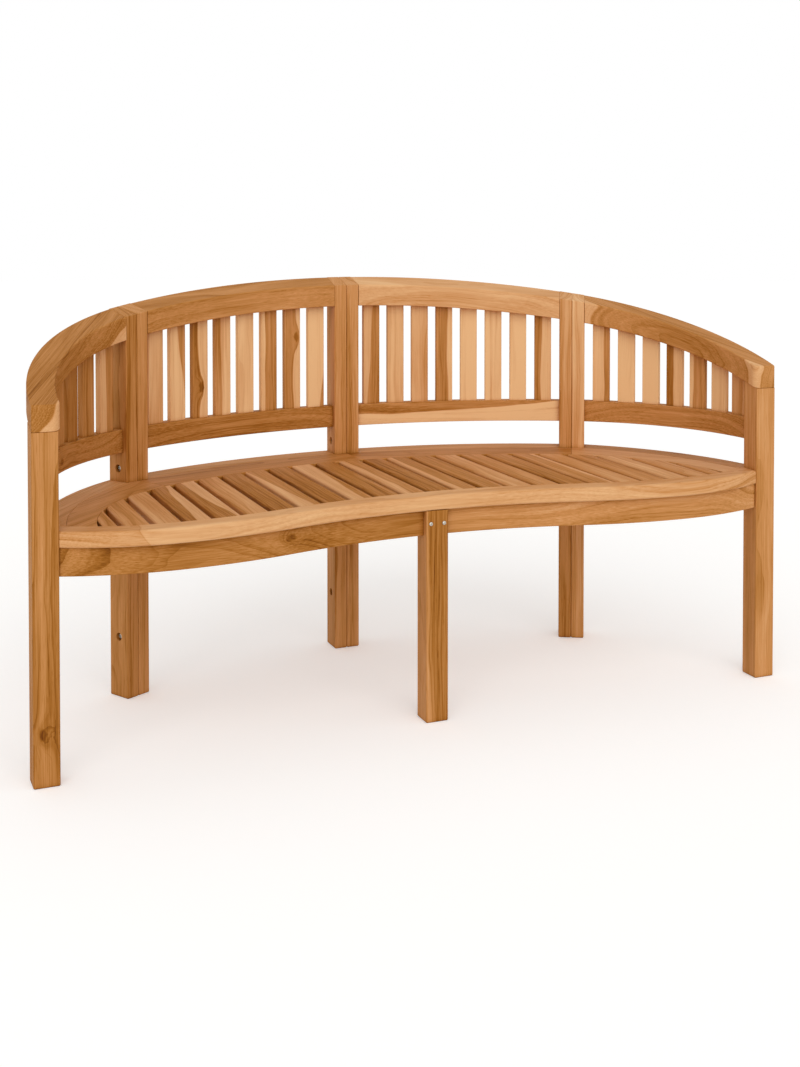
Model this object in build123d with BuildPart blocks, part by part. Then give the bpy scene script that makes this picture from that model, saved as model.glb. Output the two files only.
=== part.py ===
"""Curved three-seat teak bench, as the separate pieces that a joiner makes and fits.

Millimetres, +X to the right, +Y to the back, +Z up. The origin is on the floor, at the middle
of the bench's width and depth. A bearing is in degrees from +Y towards +X. The back follows a
wide arc through the three posts, and a tighter arc at each end that runs forward into the arms.
The bench is the same on both sides, so a right-hand piece is mirrored for the left.
"""

import os
from math import atan, cos, degrees, hypot, radians, sin, sqrt, tan

from build123d import *

# Whole bench
overall_width = 1598.0
overall_depth = 650.0
back_height = 868.0
seat_height = 458.0

# Plan of the back, measured on the centre line of the posts
back_radius = 1090.0
side_post_bearing = 29.4
crest_slope = 16.75

# Legs and posts
leg_size = 48.0
half_post_width = 30.0
post_depth = 56.0
edge_round = 3.0
foot_chamfer = 3.0
leg_setback = 71.0

# Top rails, lower rails and upright slats of the back
top_rail_thickness = 47.0
arm_inner_round = 14.0
arm_outer_round = 4.0
crest_edge_round = 3.0
lower_rail_underside = 519.5
lower_rail_depth = 49.0
lower_rail_thickness = 30.0
back_slat_width = 40.0
back_slat_thickness = 14.0
back_slat_housing = 12.0
centre_slat_count = 8
end_slat_count = 7

# Seat boards and the S-curve of the seat's front line
seat_thickness = 30.0
front_rail_width = 45.0
front_dip = 75.0
lobe_inset = 200.0
hollow_radius = 1150.0
front_end_setback = 1.6
front_edge_round = 6.0
board_inset = 118.0
board_end_inset = 73.0
side_rail_width = 54.0
side_rail_flare = 110.0
side_rail_inset = 45.0

# Seat slats
seat_slat_count = 11
seat_slat_gap = 10.0
seat_slat_thickness = 20.0
seat_slat_round = 5.0
tip_room = 35.0
tip_hole = 8.0
tongue_length = 10.0
tongue_thickness = 8.0

# Aprons and bearer under the seat
apron_setback = 16.0
apron_thickness = 22.0
apron_depth = 52.0
apron_end_setback = 6.0
bearer_width = 50.0

# Tenons
tenon_length = 18.0
tenon_thickness = 12.0
lower_tenon_depth = 34.0
crest_tenon_size = 20.0
seat_tenon_width = 30.0
leg_tenon_size = 24.0
apron_tenon_depth = 34.0
apron_tenon_thickness = 10.0
bearer_tenon_width = 20.0
bearer_tenon_depth = 30.0

# Bolts
post_bolt_heights = (128.0, 485.0)
post_bolt_diameter = 8.0
post_bolt_head_diameter = 13.0
post_bolt_head_thickness = 6.0
post_nut_width = 13.0
post_nut_thickness = 6.5
post_bolt_end = 2.0
counterbore_diameter = 17.0
counterbore_depth = 9.0
leg_bolt_spacing = 29.0
leg_bolt_diameter = 5.0
leg_bolt_head_diameter = 8.0
leg_bolt_head_height = 2.5
leg_bolt_reach = 40.0
socket_width = 3.0
socket_depth = 1.5

# Places worked out from the sizes
seat_underside = seat_height - seat_thickness
apron_underside = seat_underside - apron_depth
apron_middle = seat_underside - apron_depth / 2
lower_rail_top = lower_rail_underside + lower_rail_depth
lower_rail_middle = lower_rail_underside + lower_rail_depth / 2
seat_middle = seat_height - seat_thickness / 2
front_line = -overall_depth / 2
back_line = overall_depth / 2

half_depth = post_depth / 2
middle_post_y = back_line - half_depth
back_centre = (0.0, middle_post_y - back_radius)
side_out = (sin(radians(side_post_bearing)), cos(radians(side_post_bearing)))
side_post = (back_radius * side_out[0], back_centre[1] + back_radius * side_out[1])
leg_outer = overall_width / 2
leg_x = leg_outer - leg_size / 2
leg_y = front_line + leg_setback
leg_inner = leg_x - leg_size / 2
leg_back = leg_y + leg_size / 2
leg_front = leg_y - leg_size / 2
middle_leg_y = front_line + front_dip + leg_size / 2

# The end arc leaves the side post square to it and passes through the leg's centre
leg_run = (leg_x - side_post[0], leg_y - side_post[1])
leg_fall = leg_run[0] * side_out[0] + leg_run[1] * side_out[1]
end_radius = -(leg_run[0] ** 2 + leg_run[1] ** 2) / (2 * leg_fall)
end_centre = (side_post[0] - end_radius * side_out[0], side_post[1] - end_radius * side_out[1])
board_end_radius = end_radius - board_end_inset
side_rail_radius = end_radius + side_rail_flare

post_grip = 2 * half_post_width - 2 * counterbore_depth
shank_length = post_grip + post_nut_thickness + post_bolt_end

# A post face is a bearing and a distance sideways from the post's centre
MIDDLE_FACE = (0.0, half_post_width)
SIDE_INNER_FACE = (side_post_bearing, -half_post_width)
SIDE_OUTER_FACE = (side_post_bearing, half_post_width)
LEG_BACK_FACE = (90.0, end_centre[1] - leg_back)
LEG_FRONT_FACE = (90.0, end_centre[1] - leg_front)

# The seat's front line: a hollow in the middle, a lobe each side and a bow back to the leg
lobe_offset = leg_inner - lobe_inset
dip_turn = 2 * atan(front_dip / lobe_offset)
lobe_radius = (lobe_offset**2 + front_dip**2) / (2 * front_dip) - hollow_radius
hollow_centre = (0.0, front_line + front_dip - hollow_radius)
lobe_centre = (lobe_offset, front_line + lobe_radius)
far_front = front_line - overall_depth

crest = Plane(
    origin=(0, back_line, back_height),
    x_dir=(1, 0, 0),
    z_dir=(0, -sin(radians(crest_slope)), cos(radians(crest_slope))),
)
crest_underside = crest.offset(-top_rail_thickness)


def outward(bearing):
    """Unit vector at a bearing."""
    return (sin(radians(bearing)), cos(radians(bearing)))


def sideways(bearing):
    """Unit vector square to a bearing, towards larger bearings."""
    return (cos(radians(bearing)), -sin(radians(bearing)))


def at(centre, radius, face):
    """Point at a radius from a centre, on the plane of a face."""
    bearing, along = face
    out = sqrt(radius**2 - along**2)
    return tuple(
        c + out * n + along * t for c, n, t in zip(centre, outward(bearing), sideways(bearing))
    )


def post_point(centre, radius, face):
    """Middle of the face of a post whose centre is at that radius."""
    bearing, along = face
    return tuple(
        c + radius * n + along * t for c, n, t in zip(centre, outward(bearing), sideways(bearing))
    )


def face_plane(centre, radius, face):
    """Plane of a post's face, for telling which edges lie on it."""
    x, y = post_point(centre, radius, face)
    return Plane(origin=(x, y, 0), x_dir=(0, 0, 1), z_dir=(*sideways(face[0]), 0))


def on_line(centre, radius, point, heading):
    """Where a line from a point, along a unit heading, crosses the circle about a centre."""
    dx = point[0] - centre[0]
    dy = point[1] - centre[1]
    along = dx * heading[0] + dy * heading[1]
    reach = sqrt(along**2 - dx**2 - dy**2 + radius**2) - along
    return (point[0] + reach * heading[0], point[1] + reach * heading[1])


def centre_of(first, last, radius):
    """Centre of the arc from a first to a last point that turns to the right."""
    half = hypot(last[0] - first[0], last[1] - first[1]) / 2
    drop = sqrt(radius**2 - half**2)
    along = ((last[0] - first[0]) / (2 * half), (last[1] - first[1]) / (2 * half))
    return (
        (first[0] + last[0]) / 2 + drop * along[1],
        (first[1] + last[1]) / 2 - drop * along[0],
    )


def crest_height(y, depth=0.0):
    """Height of the plane at a depth under the crest, above a place y."""
    slope = radians(crest_slope)
    return back_height - (back_line - y) * tan(slope) - depth / cos(slope)


def bow(centre, start, end):
    """Draw the arc about a centre from a start to an end."""
    radius = hypot(start[0] - centre[0], start[1] - centre[1])
    way = [s + e - 2 * c for c, s, e in zip(centre, start, end)]
    middle = tuple(c + radius * w / hypot(*way) for c, w in zip(centre, way))
    return ThreePointArc(start, middle, end)


def closing_radius(setback, end_setback):
    """Radius of the bow from a lobe to the leg, ending a little behind the leg's front face."""
    rise = leg_front + end_setback - front_line - setback
    return (lobe_inset**2 + rise**2) / (2 * rise)


def front_curve(setback, radius, stop):
    """Draw the right half of the seat's front line, set back, as far as x = stop.

    The radius is that of its last bow. Returns its two ends.
    """
    first = (0.0, front_line + front_dip + setback)
    turn = at(hollow_centre, hollow_radius + setback, (degrees(dip_turn), 0.0))
    lobe = (lobe_offset, front_line + setback)
    closing_centre = (lobe_offset, front_line + setback + radius)
    last = (stop, closing_centre[1] - sqrt(radius**2 - (stop - lobe_offset) ** 2))
    bow(hollow_centre, first, turn)
    bow(lobe_centre, turn, lobe)
    bow(closing_centre, lobe, last)
    return first, last


def band(centre, inner, outer, first, last, height=0.0):
    """Outline of a curved board between two radii and two faces, at a height."""
    with BuildSketch(Plane.XY.offset(height)) as outline:
        with BuildLine():
            bow(centre, at(centre, inner, first), at(centre, inner, last))
            Line(at(centre, inner, last), at(centre, outer, last))
            bow(centre, at(centre, outer, last), at(centre, outer, first))
            Line(at(centre, outer, first), at(centre, inner, first))
        make_face()
    return outline.sketch


def front_zone(setback, stop):
    """Everything in front of the line at a setback from the seat's front, from x = 0 to stop."""
    with BuildSketch() as zone:
        with BuildLine():
            first, last = front_curve(setback, front_end_radius - setback, stop)
            Line(last, (stop, far_front))
            Line((stop, far_front), (0.0, far_front))
            Line((0.0, far_front), first)
        make_face()
    return zone.sketch


def slat_field(let_in):
    """The seat's right half inside its frame, made wider by the depth that slats are let in."""
    radius = back_radius - board_inset
    mitre = at(back_centre, radius, (side_post_bearing, 0.0))
    centre = at(mitre, board_end_radius, (side_post_bearing + 180.0, 0.0))
    back = (0.0, back_centre[1] + radius + let_in)
    corner = at(back_centre, radius + let_in, (side_post_bearing, 0.0))
    side = (centre[0] + board_end_radius + let_in, centre[1])
    with BuildSketch() as field:
        with BuildLine():
            bow(back_centre, back, corner)
            bow(centre, corner, side)
            Line(side, (side[0], far_front))
            Line((side[0], far_front), (0.0, far_front))
            Line((0.0, far_front), back)
        make_face()
        add(front_zone(front_rail_width - let_in, leg_x), mode=Mode.SUBTRACT)
    return field.sketch


def peg(plane, width, depth, length):
    """A square-edged tenon that stands on a plane."""
    with BuildPart() as tenon:
        with BuildSketch(plane):
            Rectangle(width, depth)
        extrude(amount=length)
    return tenon.part


def post_peg(centre, radius, face, height, way, width, depth):
    """A tenon that goes into a post's face, one way (1) or the other (-1) along the curve."""
    x, y = at(centre, radius, face)
    n = outward(face[0])
    t = sideways(face[0])
    plane = Plane(origin=(x, y, height), x_dir=(*n, 0), z_dir=(way * t[0], way * t[1], 0))
    return peg(plane, width, depth, tenon_length)


def crest_peg(centre, radius, face, way):
    """A top rail's tenon, at the middle of the rail where it meets a post."""
    y = at(centre, radius, face)[1]
    height = crest_height(y, top_rail_thickness / 2)
    return post_peg(centre, radius, face, height, way, crest_tenon_size, crest_tenon_size)


def lower_peg(centre, radius, face, way):
    """A lower rail's tenon."""
    height = lower_rail_middle
    return post_peg(centre, radius, face, height, way, tenon_thickness, lower_tenon_depth)


def seat_peg(centre, radius, face, way):
    """A seat rail's tenon."""
    return post_peg(centre, radius, face, seat_middle, way, seat_tenon_width, tenon_thickness)


def slat_places(radius, first, last, count):
    """Bearings of slats spread with equal gaps between two faces."""
    start = radians(first[0]) + atan(first[1] / radius)
    stop = radians(last[0]) + atan(last[1] / radius)
    gap = (radius * (stop - start) - count * back_slat_width) / (count + 1)
    places = []
    for index in range(count):
        along = gap * (index + 1) + back_slat_width * (index + 0.5)
        places.append(degrees(start + along / radius))
    return places


def back_slats(centre, radius, first, last, count):
    """Upright slats of one panel, let into the rails above and below them."""
    with BuildPart() as slats:
        for bearing in slat_places(radius, first, last, count):
            x, y = at(centre, radius, (bearing, 0.0))
            foot = Plane(
                origin=(x, y, lower_rail_top - back_slat_housing),
                x_dir=(*sideways(bearing), 0),
                z_dir=(0, 0, 1),
            )
            with BuildSketch(foot):
                Rectangle(back_slat_width, back_slat_thickness)
        extrude(amount=back_height)
        split(bisect_by=crest_underside.offset(back_slat_housing), keep=Keep.BOTTOM)
        chamfer(slats.edges().filter_by(Axis.Z), edge_round / 2)
    return slats.part


def top_rail(outline, ends, pegs, slats, leg_tenon=None):
    """A top rail between the two sloping planes, with its tenons and the slats' housings."""
    with BuildPart() as rail:
        extrude(outline, amount=back_height)
        split(bisect_by=crest, keep=Keep.BOTTOM)
        split(bisect_by=crest_underside, keep=Keep.TOP)
        rims = rail.faces().filter_by(crest).edges()
        for end in ends:
            rims = rims.filter_by(lambda edge: abs(end.to_local_coords(edge @ 0.5).Z) > 1)
        fillet(rims, crest_edge_round)
        for tenon in pegs:
            add(tenon)
        add(slats, mode=Mode.SUBTRACT)
        if leg_tenon:
            add(leg_tenon, mode=Mode.SUBTRACT)
    return rail.part


def lower_rail(outline, pegs, slats):
    """A level lower rail, with its tenons and the slats' housings."""
    with BuildPart() as rail:
        extrude(outline, amount=lower_rail_depth)
        rims = rail.edges().filter_by(GeomType.CIRCLE)
        chamfer(rims, edge_round / 2)
        for tenon in pegs:
            add(tenon)
        add(slats, mode=Mode.SUBTRACT)
    return rail.part


def half_post(face_from, face_to, pegs, bolt_planes):
    """Half of a back post, from the floor to the crest, with mortises and bolt holes."""
    bearing = face_from[0]
    middle = (face_from[1] + face_to[1]) / 2
    x, y = post_point(back_centre, back_radius, (bearing, middle))
    foot = Plane(origin=(x, y, 0), x_dir=(*sideways(bearing), 0), z_dir=(0, 0, 1))
    with BuildPart() as post:
        with BuildSketch(foot):
            RectangleRounded(half_post_width, post_depth, edge_round)
        extrude(amount=back_height)
        split(bisect_by=crest, keep=Keep.BOTTOM)
        chamfer(post.faces().sort_by(Axis.Z)[0].edges(), foot_chamfer)
        for tenon in pegs:
            add(tenon, mode=Mode.SUBTRACT)
        for plane in bolt_planes:
            with Locations(plane):
                CounterBoreHole(
                    post_bolt_diameter / 2, counterbore_diameter / 2, counterbore_depth, half_post_width
                )
    return post.part


def bolt_planes(face, way):
    """Planes on a post's outer face, at its bolts, looking out of the wood."""
    x, y = post_point(back_centre, back_radius, face)
    t = sideways(face[0])
    return [
        Plane(origin=(x, y, height), x_dir=(0, 0, 1), z_dir=(way * t[0], way * t[1], 0))
        for height in post_bolt_heights
    ]


def leg(x, y, height, cuts):
    """A square leg from the floor, with eased edges and its mortises."""
    with BuildPart() as post:
        with BuildSketch(Plane(origin=(x, y, 0))):
            RectangleRounded(leg_size, leg_size, edge_round)
        extrude(amount=height)
        chamfer(post.faces().sort_by(Axis.Z)[0].edges(), foot_chamfer)
        for cut in cuts:
            add(cut, mode=Mode.SUBTRACT)
    return post.part


def seat_board(outline, pegs, cuts, round_radii):
    """A curved seat board, with eased top edges, tenons and the slats' mortises."""
    with BuildPart() as board:
        extrude(outline, amount=seat_thickness)
        top = board.faces().sort_by(Axis.Z)[-1].edges().filter_by(GeomType.CIRCLE)
        rims = top.filter_by(lambda edge: any(abs(edge.radius - r) < 0.01 for r in round_radii))
        if rims:
            fillet(rims, edge_round)
        for tenon in pegs:
            add(tenon)
        for cut in cuts:
            add(cut, mode=Mode.SUBTRACT)
    return board.part


def bolt(plane):
    """A bolt whose head stands on a plane and whose shank runs back through the post."""
    with BuildPart() as fastener:
        with BuildSketch(plane):
            Circle(post_bolt_head_diameter / 2)
        extrude(amount=post_bolt_head_thickness)
        with BuildSketch(plane):
            Circle(post_bolt_diameter / 2)
        extrude(amount=-shank_length)
    return fastener.part


def nut(plane):
    """The nut of a bolt, at the floor of the far counterbore."""
    with BuildPart() as fastener:
        with BuildSketch(plane.offset(-post_grip)):
            RegularPolygon(post_nut_width / 2, 6, major_radius=False)
            Circle(post_bolt_diameter / 2, mode=Mode.SUBTRACT)
        extrude(amount=-post_nut_thickness)
    return fastener.part


def write_piece(piece, name):
    """Name a piece and write its file."""
    piece.label = name
    export_step(piece, f"parts/{name}.step")


def write_pair(piece, name):
    """Write a right-hand piece and its mirror image."""
    with BuildPart() as left:
        mirror(piece, about=Plane.YZ)
    write_piece(piece, f"{name}_right")
    write_piece(left.part, f"{name}_left")


os.makedirs("parts", exist_ok=True)
front_end_radius = closing_radius(0.0, front_end_setback)

# Tenons, each cut from the post that it enters and added to the rail that it ends
CENTRE = (back_centre, back_radius)
END = (end_centre, end_radius)
centre_ends = ((MIDDLE_FACE, -1), (SIDE_INNER_FACE, 1))
end_ends = ((SIDE_OUTER_FACE, -1), (LEG_BACK_FACE, 1))
crest_centre_pegs = [crest_peg(*CENTRE, face, way) for face, way in centre_ends]
crest_end_peg = crest_peg(*END, *end_ends[0])
lower_centre_pegs = [lower_peg(*CENTRE, face, way) for face, way in centre_ends]
lower_end_pegs = [lower_peg(*END, face, way) for face, way in end_ends]
seat_centre_pegs = [seat_peg(*CENTRE, face, way) for face, way in centre_ends]
seat_end_peg = seat_peg(*END, *end_ends[0])

# The outer seat rail of an end panel runs from the post's front corner to the back of the leg
post_corner = post_point(back_centre, back_radius - half_depth, SIDE_OUTER_FACE)
side_rail_end = (leg_x - side_rail_inset, leg_back)
side_rail_centre = centre_of(post_corner, side_rail_end, side_rail_radius)
side_rail_outer = side_rail_radius + side_rail_width
side_rail_far = on_line(side_rail_centre, side_rail_outer, (leg_x, leg_back), (1, 0))
seat_leg_peg_x = (leg_inner + side_rail_far[0]) / 2
seat_leg_plane = Plane(origin=(seat_leg_peg_x, leg_back, seat_middle), x_dir=(1, 0, 0), z_dir=(0, -1, 0))
seat_leg_peg_width = (side_rail_far[0] - leg_inner) * 2 / 3
seat_leg_peg = peg(seat_leg_plane, seat_leg_peg_width, tenon_thickness, tenon_length)

# Back: slats, top rails and lower rails
half_lower = lower_rail_thickness / 2
centre_slats = back_slats(*CENTRE, MIDDLE_FACE, SIDE_INNER_FACE, centre_slat_count)
end_slats = back_slats(*END, SIDE_OUTER_FACE, LEG_BACK_FACE, end_slat_count)
write_pair(centre_slats, "back_slats_centre")
write_pair(end_slats, "back_slats_end")

centre_crest = band(
    back_centre, back_radius - half_depth, back_radius + half_depth, MIDDLE_FACE, SIDE_INNER_FACE
)
centre_planes = [face_plane(*CENTRE, MIDDLE_FACE), face_plane(*CENTRE, SIDE_INNER_FACE)]
write_pair(top_rail(centre_crest, centre_planes, crest_centre_pegs, centre_slats), "top_rail_centre")

# An arm's outer line runs from the post's back to the leg's outer face, which it meets square
arm_inner = end_radius - half_depth
arm_outer_start = at(end_centre, end_radius + half_depth, SIDE_OUTER_FACE)
arm_spread = leg_outer - arm_outer_start[0]
arm_run = arm_outer_start[1] - leg_y
arm_outer = (arm_spread**2 + arm_run**2) / (2 * arm_spread)
arm_outer_centre = (leg_outer - arm_outer, leg_y)
arm_outer_end = on_line(arm_outer_centre, arm_outer, (leg_x, leg_front), (1, 0))
with BuildSketch() as arm:
    with BuildLine():
        arm_inner_start = at(end_centre, arm_inner, SIDE_OUTER_FACE)
        arm_inner_end = at(end_centre, arm_inner, LEG_FRONT_FACE)
        bow(end_centre, arm_inner_start, arm_inner_end)
        Line(arm_inner_end, arm_outer_end)
        bow(arm_outer_centre, arm_outer_end, arm_outer_start)
        Line(arm_outer_start, arm_inner_start)
    make_face()
    fillet(arm.vertices().group_by(Axis.Y)[0].sort_by(Axis.X)[0], arm_inner_round)
    fillet(arm.vertices().group_by(Axis.Y)[0].sort_by(Axis.X)[-1], arm_outer_round)

leg_top = Plane(origin=(leg_x, leg_y, 0))
with BuildPart() as leg_tenon:
    with BuildSketch(leg_top):
        Rectangle(leg_tenon_size, leg_tenon_size)
    extrude(amount=back_height)
    split(bisect_by=crest_underside, keep=Keep.TOP)
    split(bisect_by=crest_underside.offset(tenon_length), keep=Keep.BOTTOM)

arm_planes = [face_plane(*END, SIDE_OUTER_FACE)]
write_pair(top_rail(arm.sketch, arm_planes, [crest_end_peg], end_slats, leg_tenon.part), "top_rail_end")

lower_centre = band(
    back_centre,
    back_radius - half_lower,
    back_radius + half_lower,
    MIDDLE_FACE,
    SIDE_INNER_FACE,
    lower_rail_underside,
)
lower_end = band(
    end_centre,
    end_radius - half_lower,
    end_radius + half_lower,
    SIDE_OUTER_FACE,
    LEG_BACK_FACE,
    lower_rail_underside,
)
write_pair(lower_rail(lower_centre, lower_centre_pegs, centre_slats), "lower_rail_centre")
write_pair(lower_rail(lower_end, lower_end_pegs, end_slats), "lower_rail_end")

# Seat slats, from the middle out, each with a tongue at both ends
field = slat_field(0.0)
tongue_field = slat_field(tongue_length)
field_tip = field.bounding_box().max.X
first_start = seat_slat_gap / 2
slat_pitch = (field_tip - tip_room - first_start) / seat_slat_count
slat_width = slat_pitch - seat_slat_gap
slat_spans = [(first_start + index * slat_pitch, slat_width) for index in range(seat_slat_count)]
slat_spans.append((field_tip - tip_room, tip_room - tip_hole))
tongue_floor = seat_height - seat_slat_thickness / 2 - tongue_thickness / 2
tongues = []
for number, (left_edge, width) in enumerate(slat_spans, start=1):
    across = left_edge + width / 2
    with BuildPart() as tongue:
        with BuildSketch(Plane.XY.offset(tongue_floor)):
            add(tongue_field)
            with Locations((across, 0)):
                Rectangle(width, overall_depth, mode=Mode.INTERSECT)
        extrude(amount=tongue_thickness)
    with BuildPart() as slat:
        with BuildSketch(Plane.XY.offset(seat_height - seat_slat_thickness)):
            add(field)
            with Locations((across, 0)):
                Rectangle(width, overall_depth, mode=Mode.INTERSECT)
        extrude(amount=seat_slat_thickness)
        top_edges = slat.faces().sort_by(Axis.Z)[-1].edges().filter_by(Axis.Y)
        fillet(top_edges, seat_slat_round)
        add(tongue.part)
    tongues.append(tongue.part)
    write_pair(slat.part, f"seat_slat_{number:02d}")

# Seat front rail, one piece from leg to leg
with BuildSketch(Plane.XY.offset(seat_underside)) as front_outline:
    with BuildLine():
        outer_first, outer_last = front_curve(0.0, front_end_radius, leg_inner)
        inner_first, inner_last = front_curve(
            front_rail_width, front_end_radius - front_rail_width, leg_inner
        )
        Line(outer_last, inner_last)
        Line(inner_first, outer_first)
    make_face()
    mirror(about=Plane.YZ)

with BuildPart() as front_rail:
    extrude(front_outline.sketch, amount=seat_thickness)
    nose_radii = (hollow_radius, lobe_radius, front_end_radius)
    bows = front_rail.edges().filter_by(GeomType.CIRCLE)
    nose = bows.filter_by(lambda edge: any(abs(edge.radius - r) < 0.01 for r in nose_radii))
    fillet(nose, front_edge_round)
    for tongue_part in tongues:
        add(tongue_part, mode=Mode.SUBTRACT)
        mirror(tongue_part, about=Plane.YZ, mode=Mode.SUBTRACT)
write_piece(front_rail.part, "seat_front_rail")

# Seat boards in front of the posts, mitred at each post
MITRE_MIDDLE = (0.0, 0.0)
MITRE_SIDE = (side_post_bearing, 0.0)
board_inner = back_radius - board_inset
board_outer = back_radius - half_depth
centre_board = band(back_centre, board_inner, board_outer, MITRE_MIDDLE, MITRE_SIDE, seat_underside)
write_pair(seat_board(centre_board, [], tongues, [board_inner]), "seat_board_centre")

mitre_inner = at(back_centre, board_inner, MITRE_SIDE)
mitre_outer = at(back_centre, board_outer, MITRE_SIDE)
board_end_centre = at(mitre_inner, board_end_radius, (side_post_bearing + 180.0, 0.0))
board_tip = (board_end_centre[0] + board_end_radius, board_end_centre[1])
with BuildSketch(Plane.XY.offset(seat_underside)) as end_board:
    with BuildLine():
        bow(board_end_centre, mitre_inner, board_tip)
        Line(board_tip, (board_tip[0], far_front))
        Line((board_tip[0], far_front), (leg_inner, far_front))
        Line((leg_inner, far_front), (leg_inner, leg_back))
        Line((leg_inner, leg_back), side_rail_end)
        bow(side_rail_centre, side_rail_end, post_corner)
        Line(post_corner, mitre_outer)
        Line(mitre_outer, mitre_inner)
    make_face()
    add(front_zone(front_rail_width, leg_inner), mode=Mode.SUBTRACT)
write_pair(seat_board(end_board.sketch, [], tongues, [board_end_radius]), "seat_board_end")

# Outer seat rails between the posts
centre_rail = band(
    back_centre,
    back_radius - half_depth,
    back_radius + half_depth,
    MIDDLE_FACE,
    SIDE_INNER_FACE,
    seat_underside,
)
write_pair(
    seat_board(centre_rail, seat_centre_pegs, [], [back_radius + half_depth]), "seat_rail_centre"
)

post_heading = outward(side_post_bearing)
side_rail_start = on_line(side_rail_centre, side_rail_outer, post_corner, post_heading)
with BuildSketch(Plane.XY.offset(seat_underside)) as side_rail:
    with BuildLine():
        bow(side_rail_centre, post_corner, side_rail_end)
        Line(side_rail_end, side_rail_far)
        bow(side_rail_centre, side_rail_far, side_rail_start)
        Line(side_rail_start, post_corner)
    make_face()
    add(front_zone(front_rail_width, leg_inner), mode=Mode.SUBTRACT)
write_pair(
    seat_board(side_rail.sketch, [seat_end_peg, seat_leg_peg], [], [side_rail_outer]), "seat_rail_end"
)

# Front aprons, from the middle leg to the end legs
with BuildSketch(Plane.XY.offset(apron_underside)) as apron_outline:
    with BuildLine():
        apron_radius = closing_radius(apron_setback, apron_end_setback)
        face_first, face_last = front_curve(apron_setback, apron_radius, leg_inner)
        rear_first, rear_last = front_curve(
            apron_setback + apron_thickness, apron_radius - apron_thickness, leg_inner
        )
        Line(face_last, rear_last)
        Line(rear_first, face_first)
    make_face()
    with Locations((0, middle_leg_y)):
        Rectangle(leg_size, leg_size, mode=Mode.SUBTRACT)

apron_end_plane = Plane(
    origin=(leg_inner, (face_last[1] + rear_last[1]) / 2, apron_middle), x_dir=(0, 1, 0), z_dir=(1, 0, 0)
)
apron_peg = peg(apron_end_plane, apron_tenon_thickness, apron_tenon_depth, tenon_length)
with BuildPart() as apron:
    extrude(apron_outline.sketch, amount=apron_depth)
    apron_rims = apron.faces().sort_by(Axis.Z)[0].edges().filter_by(GeomType.CIRCLE)
    chamfer(apron_rims, edge_round / 2)
    add(apron_peg)
write_pair(apron.part, "front_apron")

# Centre bearer, from the middle leg back to the middle post
bearer_front = middle_leg_y + leg_size / 2
bearer_back = middle_post_y - half_depth
bearer_plane = Plane(origin=(0, bearer_back, apron_middle), x_dir=(-1, 0, 0), z_dir=(0, 1, 0))
bearer_peg = peg(bearer_plane, bearer_tenon_width, bearer_tenon_depth, tenon_length)
leg_bolt_front = middle_leg_y - leg_size / 2
leg_bolt_plane = Plane(
    origin=(0, leg_bolt_front, apron_middle), x_dir=(1, 0, 0), z_dir=(0, -1, 0)
)
with BuildPart() as leg_shanks:
    with BuildSketch(leg_bolt_plane):
        with GridLocations(leg_bolt_spacing, 0, 2, 1):
            Circle(leg_bolt_diameter / 2)
    extrude(amount=-(leg_size + leg_bolt_reach))

with BuildPart() as bearer:
    with BuildSketch(Plane.XZ.offset(-bearer_front)):
        with Locations((0, apron_middle)):
            Rectangle(bearer_width, apron_depth)
    extrude(amount=bearer_front - bearer_back)
    chamfer(bearer.edges().filter_by(Axis.Y), edge_round / 2)
    add(bearer_peg)
    add(leg_shanks.part, mode=Mode.SUBTRACT)
write_piece(bearer.part, "centre_bearer")

# Bolts of the middle leg, with a hexagon socket in each head
with BuildPart() as leg_bolts:
    add(leg_shanks.part)
    with BuildSketch(leg_bolt_plane):
        with GridLocations(leg_bolt_spacing, 0, 2, 1):
            Circle(leg_bolt_head_diameter / 2)
    extrude(amount=leg_bolt_head_height)
    with BuildSketch(leg_bolt_plane.offset(leg_bolt_head_height)):
        with GridLocations(leg_bolt_spacing, 0, 2, 1):
            RegularPolygon(socket_width / 2, 6, major_radius=False)
    extrude(amount=-socket_depth, mode=Mode.SUBTRACT)
write_piece(leg_bolts.part, "leg_bolts")

# Legs
write_piece(leg(0.0, middle_leg_y, seat_underside, [leg_shanks.part]), "front_leg_middle")

with BuildPart() as end_leg:
    add(leg(leg_x, leg_y, back_height, [lower_end_pegs[1], seat_leg_peg, apron_peg]))
    split(bisect_by=crest_underside, keep=Keep.BOTTOM)
    add(leg_tenon.part)
write_pair(end_leg.part, "front_leg")

# Back posts, each of two halves
MIDDLE_SEAM = (0.0, 0.0)
SIDE_SEAM = (side_post_bearing, 0.0)
middle_bolts = bolt_planes(MIDDLE_FACE, 1)
inner_bolts = bolt_planes(SIDE_INNER_FACE, -1)
outer_bolts = bolt_planes(SIDE_OUTER_FACE, 1)
middle_mortises = [crest_centre_pegs[0], lower_centre_pegs[0], seat_centre_pegs[0], bearer_peg]
inner_mortises = [crest_centre_pegs[1], lower_centre_pegs[1], seat_centre_pegs[1]]
outer_mortises = [crest_end_peg, lower_end_pegs[0], seat_end_peg]
write_pair(half_post(MIDDLE_SEAM, MIDDLE_FACE, middle_mortises, middle_bolts), "middle_post")
write_pair(half_post(SIDE_INNER_FACE, SIDE_SEAM, inner_mortises, inner_bolts), "side_post_inner")
write_pair(half_post(SIDE_SEAM, SIDE_OUTER_FACE, outer_mortises, outer_bolts), "side_post_outer")

# Post bolts and nuts: heads outermost on the side posts and on the left of the middle post
head_planes = [plane.offset(-counterbore_depth) for plane in outer_bolts]
middle_heads = [
    Plane(origin=(-half_post_width, middle_post_y, height), x_dir=(0, 0, 1), z_dir=(-1, 0, 0))
    for height in post_bolt_heights
]
middle_head_planes = [plane.offset(-counterbore_depth) for plane in middle_heads]

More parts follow.
